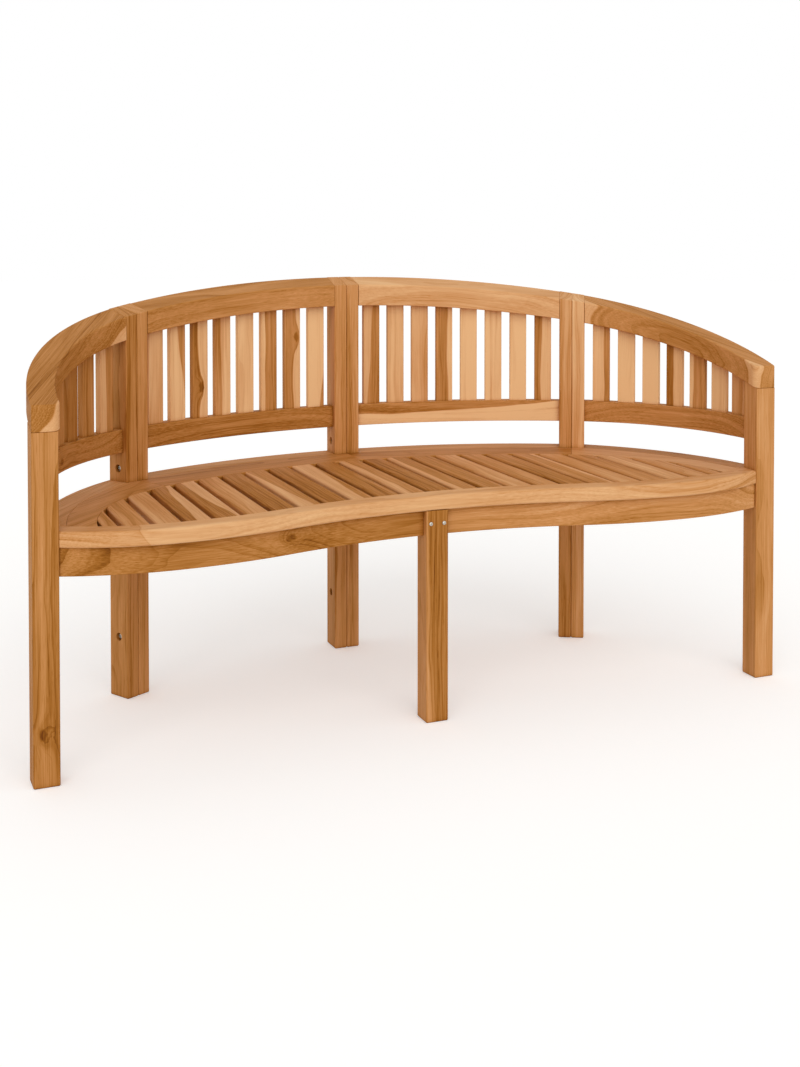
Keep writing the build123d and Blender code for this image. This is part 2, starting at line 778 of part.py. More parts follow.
for maker, name in ((bolt, "post_bolts"), (nut, "post_nuts")):
    side_fasteners = [maker(plane) for plane in head_planes]
    middle_fasteners = [maker(plane) for plane in middle_head_planes]
    with BuildPart() as group:
        for fastener in side_fasteners:
            add(fastener)
            mirror(fastener, about=Plane.YZ)
        for fastener in middle_fasteners:
            add(fastener)
    write_piece(group.part, name)
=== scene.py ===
"""Curved three-seat teak bench, dressed plank by plank.

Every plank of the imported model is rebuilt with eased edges, as sawn from its own place in a log: it
carries where the pith lay, its shade and its knots, and the teak material draws rings, sapwood and
fibres from them. Sizes are in mm and meshes in metres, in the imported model's frame: +X to the right,
+Y to the back, +Z up. A bearing is in degrees from +Y towards +X. A right-hand outline is mirrored
for the left.
"""

import logging
from collections.abc import Callable, Iterator, Sequence
from dataclasses import dataclass, field
from enum import Enum
from functools import partial
from math import atan, atan2, ceil, cos, degrees, hypot, pi, radians, sin, sqrt, tan
from random import Random

import bpy
from bpy.types import ColorRamp, Material, Mesh, NodeSocket, NodeTree, Object
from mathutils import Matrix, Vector

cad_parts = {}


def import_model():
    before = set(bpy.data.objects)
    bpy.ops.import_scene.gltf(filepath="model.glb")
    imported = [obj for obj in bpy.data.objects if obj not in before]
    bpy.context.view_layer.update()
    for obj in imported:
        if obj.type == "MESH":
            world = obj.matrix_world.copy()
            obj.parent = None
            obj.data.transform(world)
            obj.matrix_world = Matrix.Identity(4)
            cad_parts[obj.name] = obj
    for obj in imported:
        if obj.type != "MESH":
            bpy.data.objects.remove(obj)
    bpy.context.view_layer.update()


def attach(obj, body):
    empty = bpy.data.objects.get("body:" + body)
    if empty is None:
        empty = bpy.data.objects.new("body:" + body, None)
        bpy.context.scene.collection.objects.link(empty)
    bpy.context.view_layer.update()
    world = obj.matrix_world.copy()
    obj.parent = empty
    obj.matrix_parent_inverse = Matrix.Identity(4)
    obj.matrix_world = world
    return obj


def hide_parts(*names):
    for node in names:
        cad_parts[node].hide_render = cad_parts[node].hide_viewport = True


Pair = tuple[float, float]
Triple = tuple[float, float, float]
# A place in plan, in mm
Point = Pair
# A post's face: the post's bearing, and how far to the side of its middle the face is, in mm
Face = Pair
# The height of a surface over a place in plan, in mm
Height = Callable[[float, float], float]
# What adds a node to one tree, as add_node does
AddNode = Callable[..., NodeSocket]

# Metres in a mm
MM = 0.001
# Longest step along an arc, in mm
ARC_STEP = 12.0
# Size of the photograph, in pixels
PHOTO_SIZE = (800, 1067)
# A ring and a knot that no plank reaches, in mm, for wood without sapwood or knots
NO_SAP = 9000.0
NO_KNOT = (2000.0, 2000.0)
# Length of timber from which the planks' figure is taken, in metres
TIMBER_LENGTH = 40.0
# Turn above which two stretches of an outline meet at a corner, and two faces at a sharp edge
CORNER_TURN = radians(25)
SHARP_EDGE = radians(40)
# Facets across an eased edge
EDGE_FACETS = 4
# Cosine of the angle between a face's normal and the fibres, above which the face is end grain
END_GRAIN = 0.75
# What a noise texture gives on average
MEAN_NOISE = 0.5
# Sides of a nut and of a bolt's socket
HEXAGON = 6

log = logging.getLogger("teak_bench")


class Side(Enum):
    """A hand of the bench, as seen from in front of it."""

    LEFT = -1
    RIGHT = 1

    @property
    def word(self) -> str:
        """The hand's name, as it ends a node's name."""
        return self.name.lower()


class Rim(Enum):
    """Radii in mm to which the upper and lower edge of a stretch of outline are eased."""

    CREST = (3.0, 2.5)
    NOSE = (7.0, 5.0)
    BOARD = (3.0, 1.5)
    SLAT = (5.0, 1.0)
    SEAM = (1.4, 0.6)
    RAIL = (2.0, 2.1)
    FOOT = (1.0, 3.0)
    HIDDEN = (0.5, 1.5)
    BUTT = (0.7, 0.6)


class Tone(Enum):
    """Shade of a plank's wood, from 0 for the palest to 1 for the darkest."""

    PALE = 0.03
    CREAM = 0.09
    STRAW = 0.18
    TAN = 0.26
    HONEY = 0.36
    GOLDEN = 0.44
    BROWN = 0.53
    DARK = 0.63


@dataclass(frozen=True)
class Cut:
    """Where a plank was sawn from its log, which sets the lines and colours on it.

    Attributes:
        tone: Shade of the heartwood.
        pith: Place of the log's pith, across and out from the plank's middle, in mm.
        streak: Strength of the dark streaks along the rings, 0 to 1.
        sap: Ring radius beyond which the wood is pale sapwood, in mm.
        knot: Place of a knot, along and across from the plank's middle, in mm.
        lean: How far the sapwood's edge moves out from the pith, in mm for each mm along the plank.
        pale: Shade of the sapwood.
        fade: Shade added for each metre along the plank.
    """

    tone: Tone
    pith: Point
    streak: float
    sap: float = NO_SAP
    knot: Point | None = None
    lean: float = 0.0
    pale: Tone = Tone.CREAM
    fade: float = 0.0


def heart_on(
    side: Side,
    edge: float,
    tone: Tone,
    streak: float,
    knot: Point | None = None,
    lean: float = 0.0,
    pale: Tone = Tone.CREAM,
) -> Cut:
    """Cut a plank across the edge of the heartwood, so that it is two-toned.

    Args:
        side: The side of the face that is heartwood.
        edge: Where sapwood begins, in mm across from the plank's middle.
        tone: Shade of the heartwood.
        streak: Strength of the dark streaks.
        knot: Place of a knot on the face.
        lean: How far the heartwood widens, in mm for each mm along the plank.
        pale: Shade of the sapwood.

    Returns:
        The cut, with its pith well off to the heart side.
    """
    reach = 85.0
    depth = -12.0
    return Cut(tone, (edge + side.value * reach, depth), streak, hypot(reach, depth), knot, lean, pale)


def rift(tone: Tone, streak: float, away: float, fade: float) -> Cut:
    """Cut a plank with straight lines, far to one side of the pith."""
    depth = -30.0
    return Cut(tone, (away, depth), streak, fade=fade)


def outward(bearing: float) -> Point:
    """Unit vector at a bearing."""
    return (sin(radians(bearing)), cos(radians(bearing)))


def sideways(bearing: float) -> Point:
    """Unit vector square to a bearing, towards larger bearings."""
    return (cos(radians(bearing)), -sin(radians(bearing)))


def beside(centre: Point, radius: float, face: Face) -> Point:
    """Middle of the face of a post whose own middle is at a radius from a centre."""
    n, t = outward(face[0]), sideways(face[0])
    return (centre[0] + radius * n[0] + face[1] * t[0], centre[1] + radius * n[1] + face[1] * t[1])


def at(centre: Point, radius: float, face: Face) -> Point:
    """Where the arc of a radius about a centre meets the plane of a post's face."""
    return beside(centre, sqrt(radius**2 - face[1] ** 2), face)


def towards(start: Point, aim: Point, distance: float) -> Point:
    """The point at a distance from a start towards another point."""
    way = Vector(aim) - Vector(start)
    return tuple(Vector(start) + way.normalized() * distance)


def level(height: float) -> Height:
    """A level plane at a height, in mm."""
    return lambda x, y: height


@dataclass
class Outline:
    """A plank's outline in plan, walked round once.

    Attributes:
        points: Corners and points of arcs, in mm.
        rims: How the stretch that leaves each point is eased.
    """

    points: list[Point] = field(default_factory=list)
    rims: list[Rim] = field(default_factory=list)

    def run(self, points: Sequence[Point], rim: Rim) -> None:
        """Add a stretch through the given points, up to but without the last one."""
        self.points.extend(points[:-1])
        self.rims.extend([rim] * (len(points) - 1))

    def line(self, start: Point, end: Point, rim: Rim) -> None:
        """Add a straight stretch."""
        self.run([start, end], rim)

    def arc(self, centre: Point, start: Point, end: Point, rim: Rim, step: float = ARC_STEP) -> None:
        """Add the shorter arc about a centre, in steps no longer than the one given."""
        self.run(arc_points(centre, start, end, step), rim)

    def walked_back(self, hand: Side = Side.RIGHT) -> "Outline":
        """The same outline walked the other way round, or its mirror image for the left."""
        points = [(hand.value * x, y) for x, y in reversed(self.points)]
        return Outline(points, self.rims[-2::-1] + self.rims[-1:])

    def anticlockwise(self) -> "Outline":
        """The same outline, walked so that its inside is on the left."""
        pairs = zip(self.points, self.points[1:] + self.points[:1])
        return self if sum(a[0] * b[1] - b[0] * a[1] for a, b in pairs) > 0 else self.walked_back()

    def turn(self, index: int) -> float:
        """How sharply the outline turns at a point, in radians."""
        last, here, following = (Vector(self.points[(index + i) % len(self.points)]) for i in (-1, 0, 1))
        return (here - last).angle(following - here)


def arc_points(centre: Point, start: Point, end: Point, step: float = ARC_STEP) -> list[Point]:
    """Divide the shorter arc between two points.

    Args:
        centre: Centre of the arc.
        start: Where it starts.
        end: Where it ends.
        step: Longest step along it, in mm.

    Returns:
        Its points, both ends included.
    """
    radius = hypot(start[0] - centre[0], start[1] - centre[1])
    first = atan2(start[1] - centre[1], start[0] - centre[0])
    sweep = (atan2(end[1] - centre[1], end[0] - centre[0]) - first + pi) % (2 * pi) - pi
    count = max(3, ceil(abs(sweep) * radius / step))
    turns = [first + sweep * index / count for index in range(count + 1)]
    return [(centre[0] + radius * cos(a), centre[1] + radius * sin(a)) for a in turns]


def strip(front: Sequence[Point], back: Sequence[Point], rims: tuple[Rim, Rim], end: Rim) -> Outline:
    """Outline a piece between two lines.

    Args:
        front: Points of the first line.
        back: Points of the second line, which runs the other way.
        rims: How the edges along the two lines are eased.
        end: How the edges at both ends are eased.

    Returns:
        The outline, which starts with the first line.
    """
    outline = Outline()
    outline.run(front, rims[0])
    outline.line(front[-1], back[0], end)
    outline.run(back, rims[1])
    outline.line(back[-1], front[0], end)
    return outline


def band(centre: Point, inner: float, outer: float, first: Face, last: Face, rim: Rim) -> Outline:
    """Outline a curved rail between two posts.

    Args:
        centre: Centre of its arcs.
        inner: Radius of its inner edge, in mm.
        outer: Radius of its outer edge, in mm.
        first: Face of the post at which it starts.
        last: Face of the post at which it ends.
        rim: How its long edges are eased.

    Returns:
        The outline, which starts with the inner edge.
    """
    near = arc_points(centre, at(centre, inner, first), at(centre, inner, last))
    far = arc_points(centre, at(centre, outer, last), at(centre, outer, first))
    return strip(near, far, (rim, rim), Rim.BUTT)


def block(centre: Point, bearing: float, width: float, depth: float, rim: Rim) -> Outline:
    """Outline an upright's section.

    Args:
        centre: Its middle.
        bearing: The bearing to which it is square.
        width: Its size square to that bearing, in mm.
        depth: Its size along the bearing, in mm.
        rim: How its upper and lower edges are eased.

    Returns:
        The outline.
    """
    ways = ((-1, -1), (1, -1), (1, 1), (-1, 1))
    points = [beside(centre, b * depth / 2, (bearing, a * width / 2)) for a, b in ways]
    return Outline(points, [rim] * len(points))


@dataclass(frozen=True)
class Bay:
    """A curved bay of the right-hand back, between two uprights.

    Attributes:
        word: Its name, as it stands in its nodes' names.
        centre: Centre of its arc.
        radius: Radius of its middle line, in mm.
        first: Face of the upright nearer to the middle of the bench.
        last: Face of the other upright.
    """

    word: str
    centre: Point
    radius: float
    first: Face
    last: Face

    def ends(self) -> list[Point]:
        """Both ends of its middle line."""
        return [at(self.centre, self.radius, face) for face in (self.first, self.last)]

    def rail(self, thickness: float, rim: Rim) -> Outline:
        """Outline of a rail along its middle line."""
        half = thickness / 2
        return band(self.centre, self.radius - half, self.radius + half, self.first, self.last, rim)


@dataclass(frozen=True)
class Grain:
    """How a plank's wood lies: where its middle is, along its fibres, across its face and out of it."""

    middle: Vector
    along: Vector
    across: Vector
    out: Vector

    @classmethod
    def upright(cls, place: Point, height: float, bearing: float) -> "Grain":
        """Fibres that stand up, in a piece whose face looks away from a bearing."""
        middle, up = Vector((*place, height)), Vector((0, 0, 1))
        return cls(middle, up, Vector((*sideways(bearing), 0)), -Vector((*outward(bearing), 0)))

    @classmethod
    def lying(cls, start: Vector, end: Vector) -> "Grain":
        """Lay a piece flat, so that its face looks up.

        Args:
            start: One end of its middle line, in mm.
            end: The other end.

        Returns:
            Fibres that run straight from the start to the end.
        """
        along = (end - start).normalized()
        across = Vector((0, 0, 1)).cross(along).normalized()
        return cls((start + end) / 2, along, across, along.cross(across))

    @classmethod
    def on_edge(cls, start: Vector, end: Vector) -> "Grain":
        """Stand a piece on its edge, so that its face looks to the front.

        Args:
            start: One end of its middle line, in mm.
            end: The other end.

        Returns:
            Fibres that run straight from the start to the end.
        """
        along = (end - start).normalized()
        up = Vector((0, 0, 1))
        out = along.cross(up)
        return cls((start + end) / 2, along, up, out if out.y < 0 else -out)


@dataclass(frozen=True)
class Hole:
    """A round counterbore in a plank's face.

    Attributes:
        mouth: Middle of its mouth, in mm.
        inward: The way it goes into the wood.
        diameter: Its width, in mm.
        depth: Its depth, in mm.
    """

    mouth: Vector
    inward: Vector
    diameter: float
    depth: float


@dataclass
class Plank:
    """One piece of teak: a plan outline between two planes, eased all round.

    Attributes:
        name: Name of the piece.
        node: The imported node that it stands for.
        outline: Its outline in plan.
        top: Height of its upper face.
        under: Height of its lower face.
        grain: How its wood lies.
        cut: Where it was sawn from its log.
        corner: Radius of its upright corners, in mm.
        holes: Counterbores in it.
    """

    name: str
    node: str
    outline: Outline
    top: Height
    under: Height
    grain: Grain
    cut: Cut
    corner: float
    holes: tuple[Hole, ...] = ()

    def blank(self) -> Mesh:
        """Make the square-edged mesh, with the radius of each edge as its bevel weight.

        Returns:
            The mesh. A weight is a share of the plank's widest radius.
        """
        outline = self.outline.anticlockwise()
        count = len(outline.points)
        lower = [Vector((x, y, self.under(x, y))) * MM for x, y in outline.points]
        upper = [Vector((x, y, self.top(x, y))) * MM for x, y in outline.points]
        sides = [(i, (i + 1) % count, (i + 1) % count + count, i + count) for i in range(count)]
        ends = [tuple(range(count - 1, -1, -1)), tuple(range(count, 2 * count))]
        mesh = bpy.data.meshes.new(self.name)
        mesh.from_pydata([*lower, *upper], [], [*sides, *ends])
        weights = mesh.attributes.new("bevel_weight_edge", "FLOAT", "EDGE")
        for edge in mesh.edges:
            first, last = sorted(edge.vertices)
            weights.data[edge.index].value = self.ease(outline, first, last) / self.widest()
        return mesh

    def ease(self, outline: Outline, first: int, last: int) -> float:
        """Look up how an edge of the blank is eased.

        Args:
            outline: The blank's outline.
            first: Number of the edge's first vertex.
            last: Number of its last vertex.

        Returns:
            Its radius, in mm.
        """
        count = len(outline.points)
        if last - first == count:
            return self.corner if outline.turn(first) > CORNER_TURN else 0.0
        row = first // count
        low, high = first % count, last % count
        start = high if (low, high) == (0, count - 1) else low
        return outline.rims[start].value[0 if row else 1]

    def widest(self) -> float:
        """The plank's widest eased edge, in mm."""
        return max(self.corner, *(radius for rim in set(self.outline.rims) for radius in rim.value))

    def shape(self) -> Object:
        """Ease the blank's edges, bore its holes and write its grain.

        Returns:
            The finished piece, without materials.
        """
        piece = bpy.data.objects.new(self.name, self.blank())
        bpy.context.scene.collection.objects.link(piece)
        bevel = piece.modifiers.new("eased edges", "BEVEL")
        bevel.limit_method = "WEIGHT"
        bevel.width = self.widest() * MM
        bevel.segments = EDGE_FACETS
        cutters = [bore(hole) for hole in self.holes]
        for cutter in cutters:
            boring = piece.modifiers.new("counterbore", "BOOLEAN")
            boring.object = cutter
        shaped = applied(piece)
        for cutter in cutters:
            bpy.data.objects.remove(cutter)
        smooth(piece)
        self.write_grain(shaped)
        return piece

    def write_grain(self, mesh: Mesh) -> None:
        """Write what the teak is drawn from: place in the log, grade, sapwood's shade and way to the knot.

        Args:
            mesh: Mesh of the finished plank.
        """
        shift = Random(self.name).uniform(0.0, TIMBER_LENGTH)
        knot = self.cut.knot or NO_KNOT
        places, knot_ways, grades, pales = [], [], [], []
        for vertex in mesh.vertices:
            from_middle = vertex.co - self.grain.middle * MM
            along = from_middle.dot(self.grain.along)
            across = from_middle.dot(self.grain.across)
            out = from_middle.dot(self.grain.out)
            places.append((along + shift, across - self.cut.pith[0] * MM, out - self.cut.pith[1] * MM))
            knot_ways.append((along - knot[0] * MM, across - knot[1] * MM, 0.0))
            fade = self.cut.fade * along
            sap = self.cut.sap * MM + self.cut.lean * along
            grades.append((self.cut.tone.value + fade, sap, self.cut.streak))
            pales.append((self.cut.pale.value + fade, 0.0, 0.0))
        write_vectors(mesh, "grain", places)
        write_vectors(mesh, "knot", knot_ways)
        write_vectors(mesh, "grade", grades)
        write_vectors(mesh, "sapwood", pales)
        for polygon in mesh.polygons:
            polygon.material_index = int(abs(polygon.normal.dot(self.grain.along)) > END_GRAIN)

    def dress(self, materials: Sequence[Material]) -> None:
        """Shape the plank, finish it and put it in its node's place.

        Args:
            materials: The finish of its faces, then that of its ends.
        """
        piece = self.shape()
        finish(piece, materials)
        place(piece, self.node, "teak")


def write_vectors(mesh: Mesh, name: str, values: Sequence[Sequence[float]]) -> None:
    """Write a vector for each point of a mesh."""
    attribute = mesh.attributes.new(name, "FLOAT_VECTOR", "POINT")
    attribute.data.foreach_set("vector", [number for value in values for number in value])


def smooth(piece: Object) -> None:
    """Shade a piece smooth over its eased edges, with flat faces kept flat.

    Args:
        piece: The piece, with its final mesh.
    """
    piece.data.shade_smooth()
    piece.data.set_sharp_from_angle(angle=SHARP_EDGE)
    piece.modifiers.new("flat faces", "WEIGHTED_NORMAL").keep_sharp = True


def finish(piece: Object, materials: Sequence[Material]) -> None:
    """Give a piece its materials.

    Args:
        piece: The piece.
        materials: Its materials, in the order of its faces' numbers.
    """
    piece.data.materials.clear()
    for material in materials:
        piece.data.materials.append(material)


def applied(piece: Object) -> Mesh:
    """Put a piece's modifiers into its mesh.

    Args:
        piece: The piece, which is left with the new mesh and no modifier.

    Returns:
        The new mesh.
    """
    mesh = bpy.data.meshes.new_from_object(piece.evaluated_get(bpy.context.evaluated_depsgraph_get()))
    piece.modifiers.clear()
    piece.data = mesh
    return mesh


def place(piece: Object, node: str, slot: str) -> None:
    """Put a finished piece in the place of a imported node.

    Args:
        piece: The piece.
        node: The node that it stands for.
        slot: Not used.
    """
    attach(piece, "root")
    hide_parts(node)
    log.info("%s stands for %s", piece.name, node)


def turned(name: str, profile: Sequence[Point], mouth: Vector, axis: Vector, count: int) -> Object:
    """Turn a profile about an axis.

    Args:
        name: Name of the object.
        profile: Radius and height of each ring, in mm, from one closed end to the other.
        mouth: Where the axis starts, in mm.
        axis: Direction of the axis.
        count: Points round each ring.

    Returns:
        The closed solid.
    """
    side = axis.orthogonal().normalized()
    third = axis.cross(side)
    # Half a step round, so that a bolt's dome and the key that sinks its socket share no edge
    turns = [2 * pi * (index + 0.5) / count for index in range(count)]
    points = [
        (mouth + axis * height + (side * cos(turn) + third * sin(turn)) * radius) * MM
        for radius, height in profile
        for turn in turns
    ]
    last = (len(profile) - 1) * count
    faces = []
    for ring in range(0, last, count):
        for i in range(count):
            following = (i + 1) % count
            faces.append((ring + i, ring + following, ring + count + following, ring + count + i))
    faces.append(tuple(range(count - 1, -1, -1)))
    faces.append(tuple(range(last, last + count)))
    mesh = bpy.data.meshes.new(name)
    mesh.from_pydata(points, [], faces)
    solid = bpy.data.objects.new(name, mesh)
    bpy.context.scene.collection.objects.link(solid)
    return solid


def bore(hole: Hole) -> Object:
    """Make the cutter of a counterbore.

    Args:
        hole: The counterbore.

    Returns:
        A round solid that starts just outside the face.
    """
    clear = 4.0
    facets = 48
    radius = hole.diameter / 2
    cutter = turned("cutter", [(radius, -clear), (radius, hole.depth)], hole.mouth, hole.inward, facets)
    cutter.hide_render = True
    return cutter


@dataclass(frozen=True)
class BenchPlan:
    """Sizes in mm that the sub-assemblies share, and the places worked out from them.

    Attributes:
        overall_width: Width over the arms.
        overall_depth: Depth from the seat's foremost line to the back of the middle post.
        back_height: Height of the crest at the very back.
        seat_height: Height of the seat's upper face.
        seat_thickness: Thickness of the seat's frame.
        back_radius: Radius of the wide arc on which the posts stand.
        side_bearing: Bearing of the right side post from that arc's centre.
        crest_slope: Slope of the top rails, in degrees.
        top_rail_thickness: Their thickness, square to the slope.
        leg_size: Width and depth of the front legs.
        leg_setback: Distance of the end legs' middle behind the seat's foremost line.
        half_post_width: Width of each half of a post.
        post_depth: Depth of a post, and width of the top rails.
        front_rail_width: Width of the seat's front rail.
        front_dip: Depth of the hollow in the middle of the seat's front.
        lobe_inset: Distance from a lobe's foremost point to the leg.
        hollow_radius: Radius of that hollow.
        front_end_setback: How far the front rail ends behind the legs' front.
        board_inset: Distance from the back's arc to the slats' back ends.
        board_end_inset: The same distance beyond the side post.
        apron_depth: Height of the aprons and the bearer.
        lower_rail_top: Height of the lower rails' upper edge.
        bolt_heights: Height of the bolts through the posts.
        counterbore_depth: Depth of the counterbores for their heads and nuts.
    """

    overall_width: float = 1598.0
    overall_depth: float = 650.0
    back_height: float = 868.0
    seat_height: float = 458.0
    seat_thickness: float = 30.0
    back_radius: float = 1090.0
    side_bearing: float = 29.4
    crest_slope: float = 16.75
    top_rail_thickness: float = 47.0
    leg_size: float = 48.0
    leg_setback: float = 71.0
    half_post_width: float = 30.0
    post_depth: float = 56.0
    front_rail_width: float = 45.0
    front_dip: float = 75.0
    lobe_inset: float = 200.0
    hollow_radius: float = 1150.0
    front_end_setback: float = 1.6
    board_inset: float = 118.0
    board_end_inset: float = 73.0
    apron_depth: float = 52.0
    lower_rail_top: float = 568.5
    bolt_heights: tuple[float, ...] = (128.0, 485.0)
    counterbore_depth: float = 9.0

    @property
    def seat_underside(self) -> float:
        """Height of the seat boards' lower face."""
        return self.seat_height - self.seat_thickness

    @property
    def apron_underside(self) -> float:
        """Height of the aprons' lower edge."""
        return self.seat_underside - self.apron_depth

    @property
    def front_line(self) -> float:
        """Foremost line of the seat."""
        return -self.overall_depth / 2

    @property
    def middle_post(self) -> Point:
        """Centre of the middle post."""
        return (0.0, (self.overall_depth - self.post_depth) / 2)

    @property
    def back_centre(self) -> Point:
        """Centre of the back's wide arc."""
        return (0.0, self.middle_post[1] - self.back_radius)

    @property
    def side_post(self) -> Point:
        """Centre of the right side post."""
        return at(self.back_centre, self.back_radius, (self.side_bearing, 0.0))

    @property
    def leg(self) -> Point:
        """Centre of the right front leg."""
        return ((self.overall_width - self.leg_size) / 2, self.front_line + self.leg_setback)

    @property
    def leg_inner(self) -> float:
        """Place of the right leg's inner face."""
        return self.leg[0] - self.leg_size / 2

    @property
    def leg_back(self) -> float:
        """Place of the end legs' back face."""
        return self.leg[1] + self.leg_size / 2

    @property
    def leg_front(self) -> float:
        """Place of the end legs' front face."""
        return self.leg[1] - self.leg_size / 2

    @property
    def middle_leg(self) -> Point:
        """Centre of the middle front leg, whose front is at the hollow of the seat."""
        return (0.0, self.front_line + self.front_dip + self.leg_size / 2)

    @property
    def end_radius(self) -> float:
        """Radius of the arc that leaves the side post square to it and meets the leg's centre."""
        run = Vector(self.leg) - Vector(self.side_post)
        return -run.length_squared / (2 * run.dot(Vector(outward(self.side_bearing))))

    @property
    def end_centre(self) -> Point:
        """Centre of the right end's arc."""
        return at(self.side_post, self.end_radius, (self.side_bearing + 180.0, 0.0))

    @property
    def middle_face(self) -> Face:
        """Right face of the middle post."""
        return (0.0, self.half_post_width)

    @property
    def side_inner_face(self) -> Face:
        """Face of the right side post towards the middle."""
        return (self.side_bearing, -self.half_post_width)

    @property
    def side_outer_face(self) -> Face:
        """Face of the right side post towards the arm."""
        return (self.side_bearing, self.half_post_width)

    @property
    def leg_back_face(self) -> Face:
        """Back of the right leg, as a face of the end arc."""
        return (90.0, self.end_centre[1] - self.leg_back)

    @property
    def bays(self) -> tuple[Bay, Bay]:
        """Set out the right-hand bays of the back.

        Returns:
            The bay beside the middle post, and the one under the arm.
        """
        return (
            Bay("centre", self.back_centre, self.back_radius, self.middle_face, self.side_inner_face),
            Bay("end", self.end_centre, self.end_radius, self.side_outer_face, self.leg_back_face),
        )

    @property
    def lobe_offset(self) -> float:
        """Distance of a lobe's foremost point from the middle."""
        return self.leg_inner - self.lobe_inset

    def crest(self, depth: float = 0.0) -> Height:
        """Lay a plane along the slope of the top rails.

        Args:
            depth: How far it lies under their upper face, in mm.

        Returns:
            The plane's height over a place.
        """
        slope = radians(self.crest_slope)
        fall = depth / cos(slope)
        back = self.overall_depth / 2
        return lambda x, y: self.back_height - (back - y) * tan(slope) - fall

    def closing_radius(self, setback: float, end_setback: float) -> float:
        """Radius of the bow from a lobe to the leg, which ends behind the leg's front face."""
        rise = self.leg_front + end_setback - self.front_line - setback
        return (self.lobe_inset**2 + rise**2) / (2 * rise)

    def front(self, x: float, setback: float, closing: float) -> float:
        """Place of the seat's S-curved front line, set back.

        Args:
            x: Distance from the middle, to either side.
            setback: Distance behind the seat's own front line.
            closing: Radius of the last bow, beside the leg.

        Returns:
            The line's y.
        """
        x = abs(x)
        turn = 2 * atan(self.front_dip / self.lobe_offset)
        spread = (self.lobe_offset**2 + self.front_dip**2) / (2 * self.front_dip)
        lobe = spread - self.hollow_radius
        if x < (self.hollow_radius + setback) * sin(turn):
            centre = self.front_line + self.front_dip - self.hollow_radius
            return centre + sqrt((self.hollow_radius + setback) ** 2 - x**2)
        if x < self.lobe_offset:
            return self.front_line + lobe - sqrt((lobe - setback) ** 2 - (x - self.lobe_offset) ** 2)
        return self.front_line + setback + closing - sqrt(closing**2 - (x - self.lobe_offset) ** 2)

    def rail_front(self, x: float) -> float:
        """Front line of the seat's front rail."""
        return self.front(x, 0.0, self.closing_radius(0.0, self.front_end_setback))

    def rail_back(self, x: float) -> float:
        """Place of the back line of the seat's front rail, where the slats begin.

        Args:
            x: Distance from the middle, to either side.

        Returns:
            The line's y, which ends level with the legs' backs.
        """
        if abs(x) > self.board_corner:
            return self.leg_back
        return self.front(x, self.front_rail_width, self.rail_back_closing)

    @property
    def rail_back_closing(self) -> float:
        """Radius of the last bow of the front rail's back line, beside the leg."""
        return self.closing_radius(0.0, self.front_end_setback) - self.front_rail_width

    @property
    def board_corner(self) -> float:
        """How far out the front rail's back line meets the line of the end legs' backs."""
        left = self.rail_back_closing - (self.leg_back - self.front_line - self.front_rail_width)
        return self.lobe_offset + sqrt(self.rail_back_closing**2 - left**2)

    @property
    def field_radius(self) -> float:
        """Radius of the slats' back ends about the back's centre."""
        return self.back_radius - self.board_inset

    @property
    def field_mitre(self) -> Point:
        """Where the two arcs of the slats' back ends meet."""
        return at(self.back_centre, self.field_radius, (self.side_bearing, 0.0))

    @property
    def field_end_radius(self) -> float:
        """Radius of the slats' back ends beyond the side post."""
        return self.end_radius - self.board_end_inset

    @property
    def field_end_centre(self) -> Point:
        """Centre of that arc."""
        return at(self.field_mitre, self.field_end_radius, (self.side_bearing + 180.0, 0.0))

    def field_back(self, x: float) -> float:
        """Place of the slats' back line.

        Args:
            x: Distance from the middle, to the right.

        Returns:
            The line's y.
        """
        if x < self.field_mitre[0]:
            return self.back_centre[1] + sqrt(self.field_radius**2 - x**2)
        centre = self.field_end_centre
        return centre[1] + sqrt(max(self.field_end_radius**2 - (x - centre[0]) ** 2, 0.0))

    @property
    def field_tip(self) -> float:
        """Find where the front and back lines of the slats' field meet.

        Returns:
            Its distance from the middle, in mm.
        """
        halvings = 40
        low = self.field_mitre[0]
        high = self.field_end_centre[0] + self.field_end_radius
        for _ in range(halvings):
            middle = (low + high) / 2
            if self.field_back(middle) > self.rail_back(middle):
                low = middle
            else:
                high = middle
        return low


def steps(start: float, end: float, step: float = ARC_STEP) -> list[float]:
    """Evenly spread numbers from a start to an end, both included."""
    count = max(2, ceil(abs(end - start) / step))
    return [start + (end - start) * index / count for index in range(count + 1)]


def handed(outline: Outline, side: Side) -> Outline:
    """A right-hand outline, or its mirror image for the left."""
    return outline if side is Side.RIGHT else outline.walked_back(side)


def fit(point: Point, side: Side) -> Point:
    """A right-hand point, or its mirror image for the left."""
    return (side.value * point[0], point[1])


@dataclass
class Woodwork:
    """A sub-assembly of planks, laid out on the bench's plan."""

    plan: BenchPlan

    def build(self) -> Iterator[Plank]:
        """Each plank, as the sub-assembly lays it out."""
        raise NotImplementedError

    def dress(self, materials: Sequence[Material]) -> None:
        """Shape and finish each plank, with the finish of faces and that of ends."""
        for plank in self.build():
            plank.dress(materials)


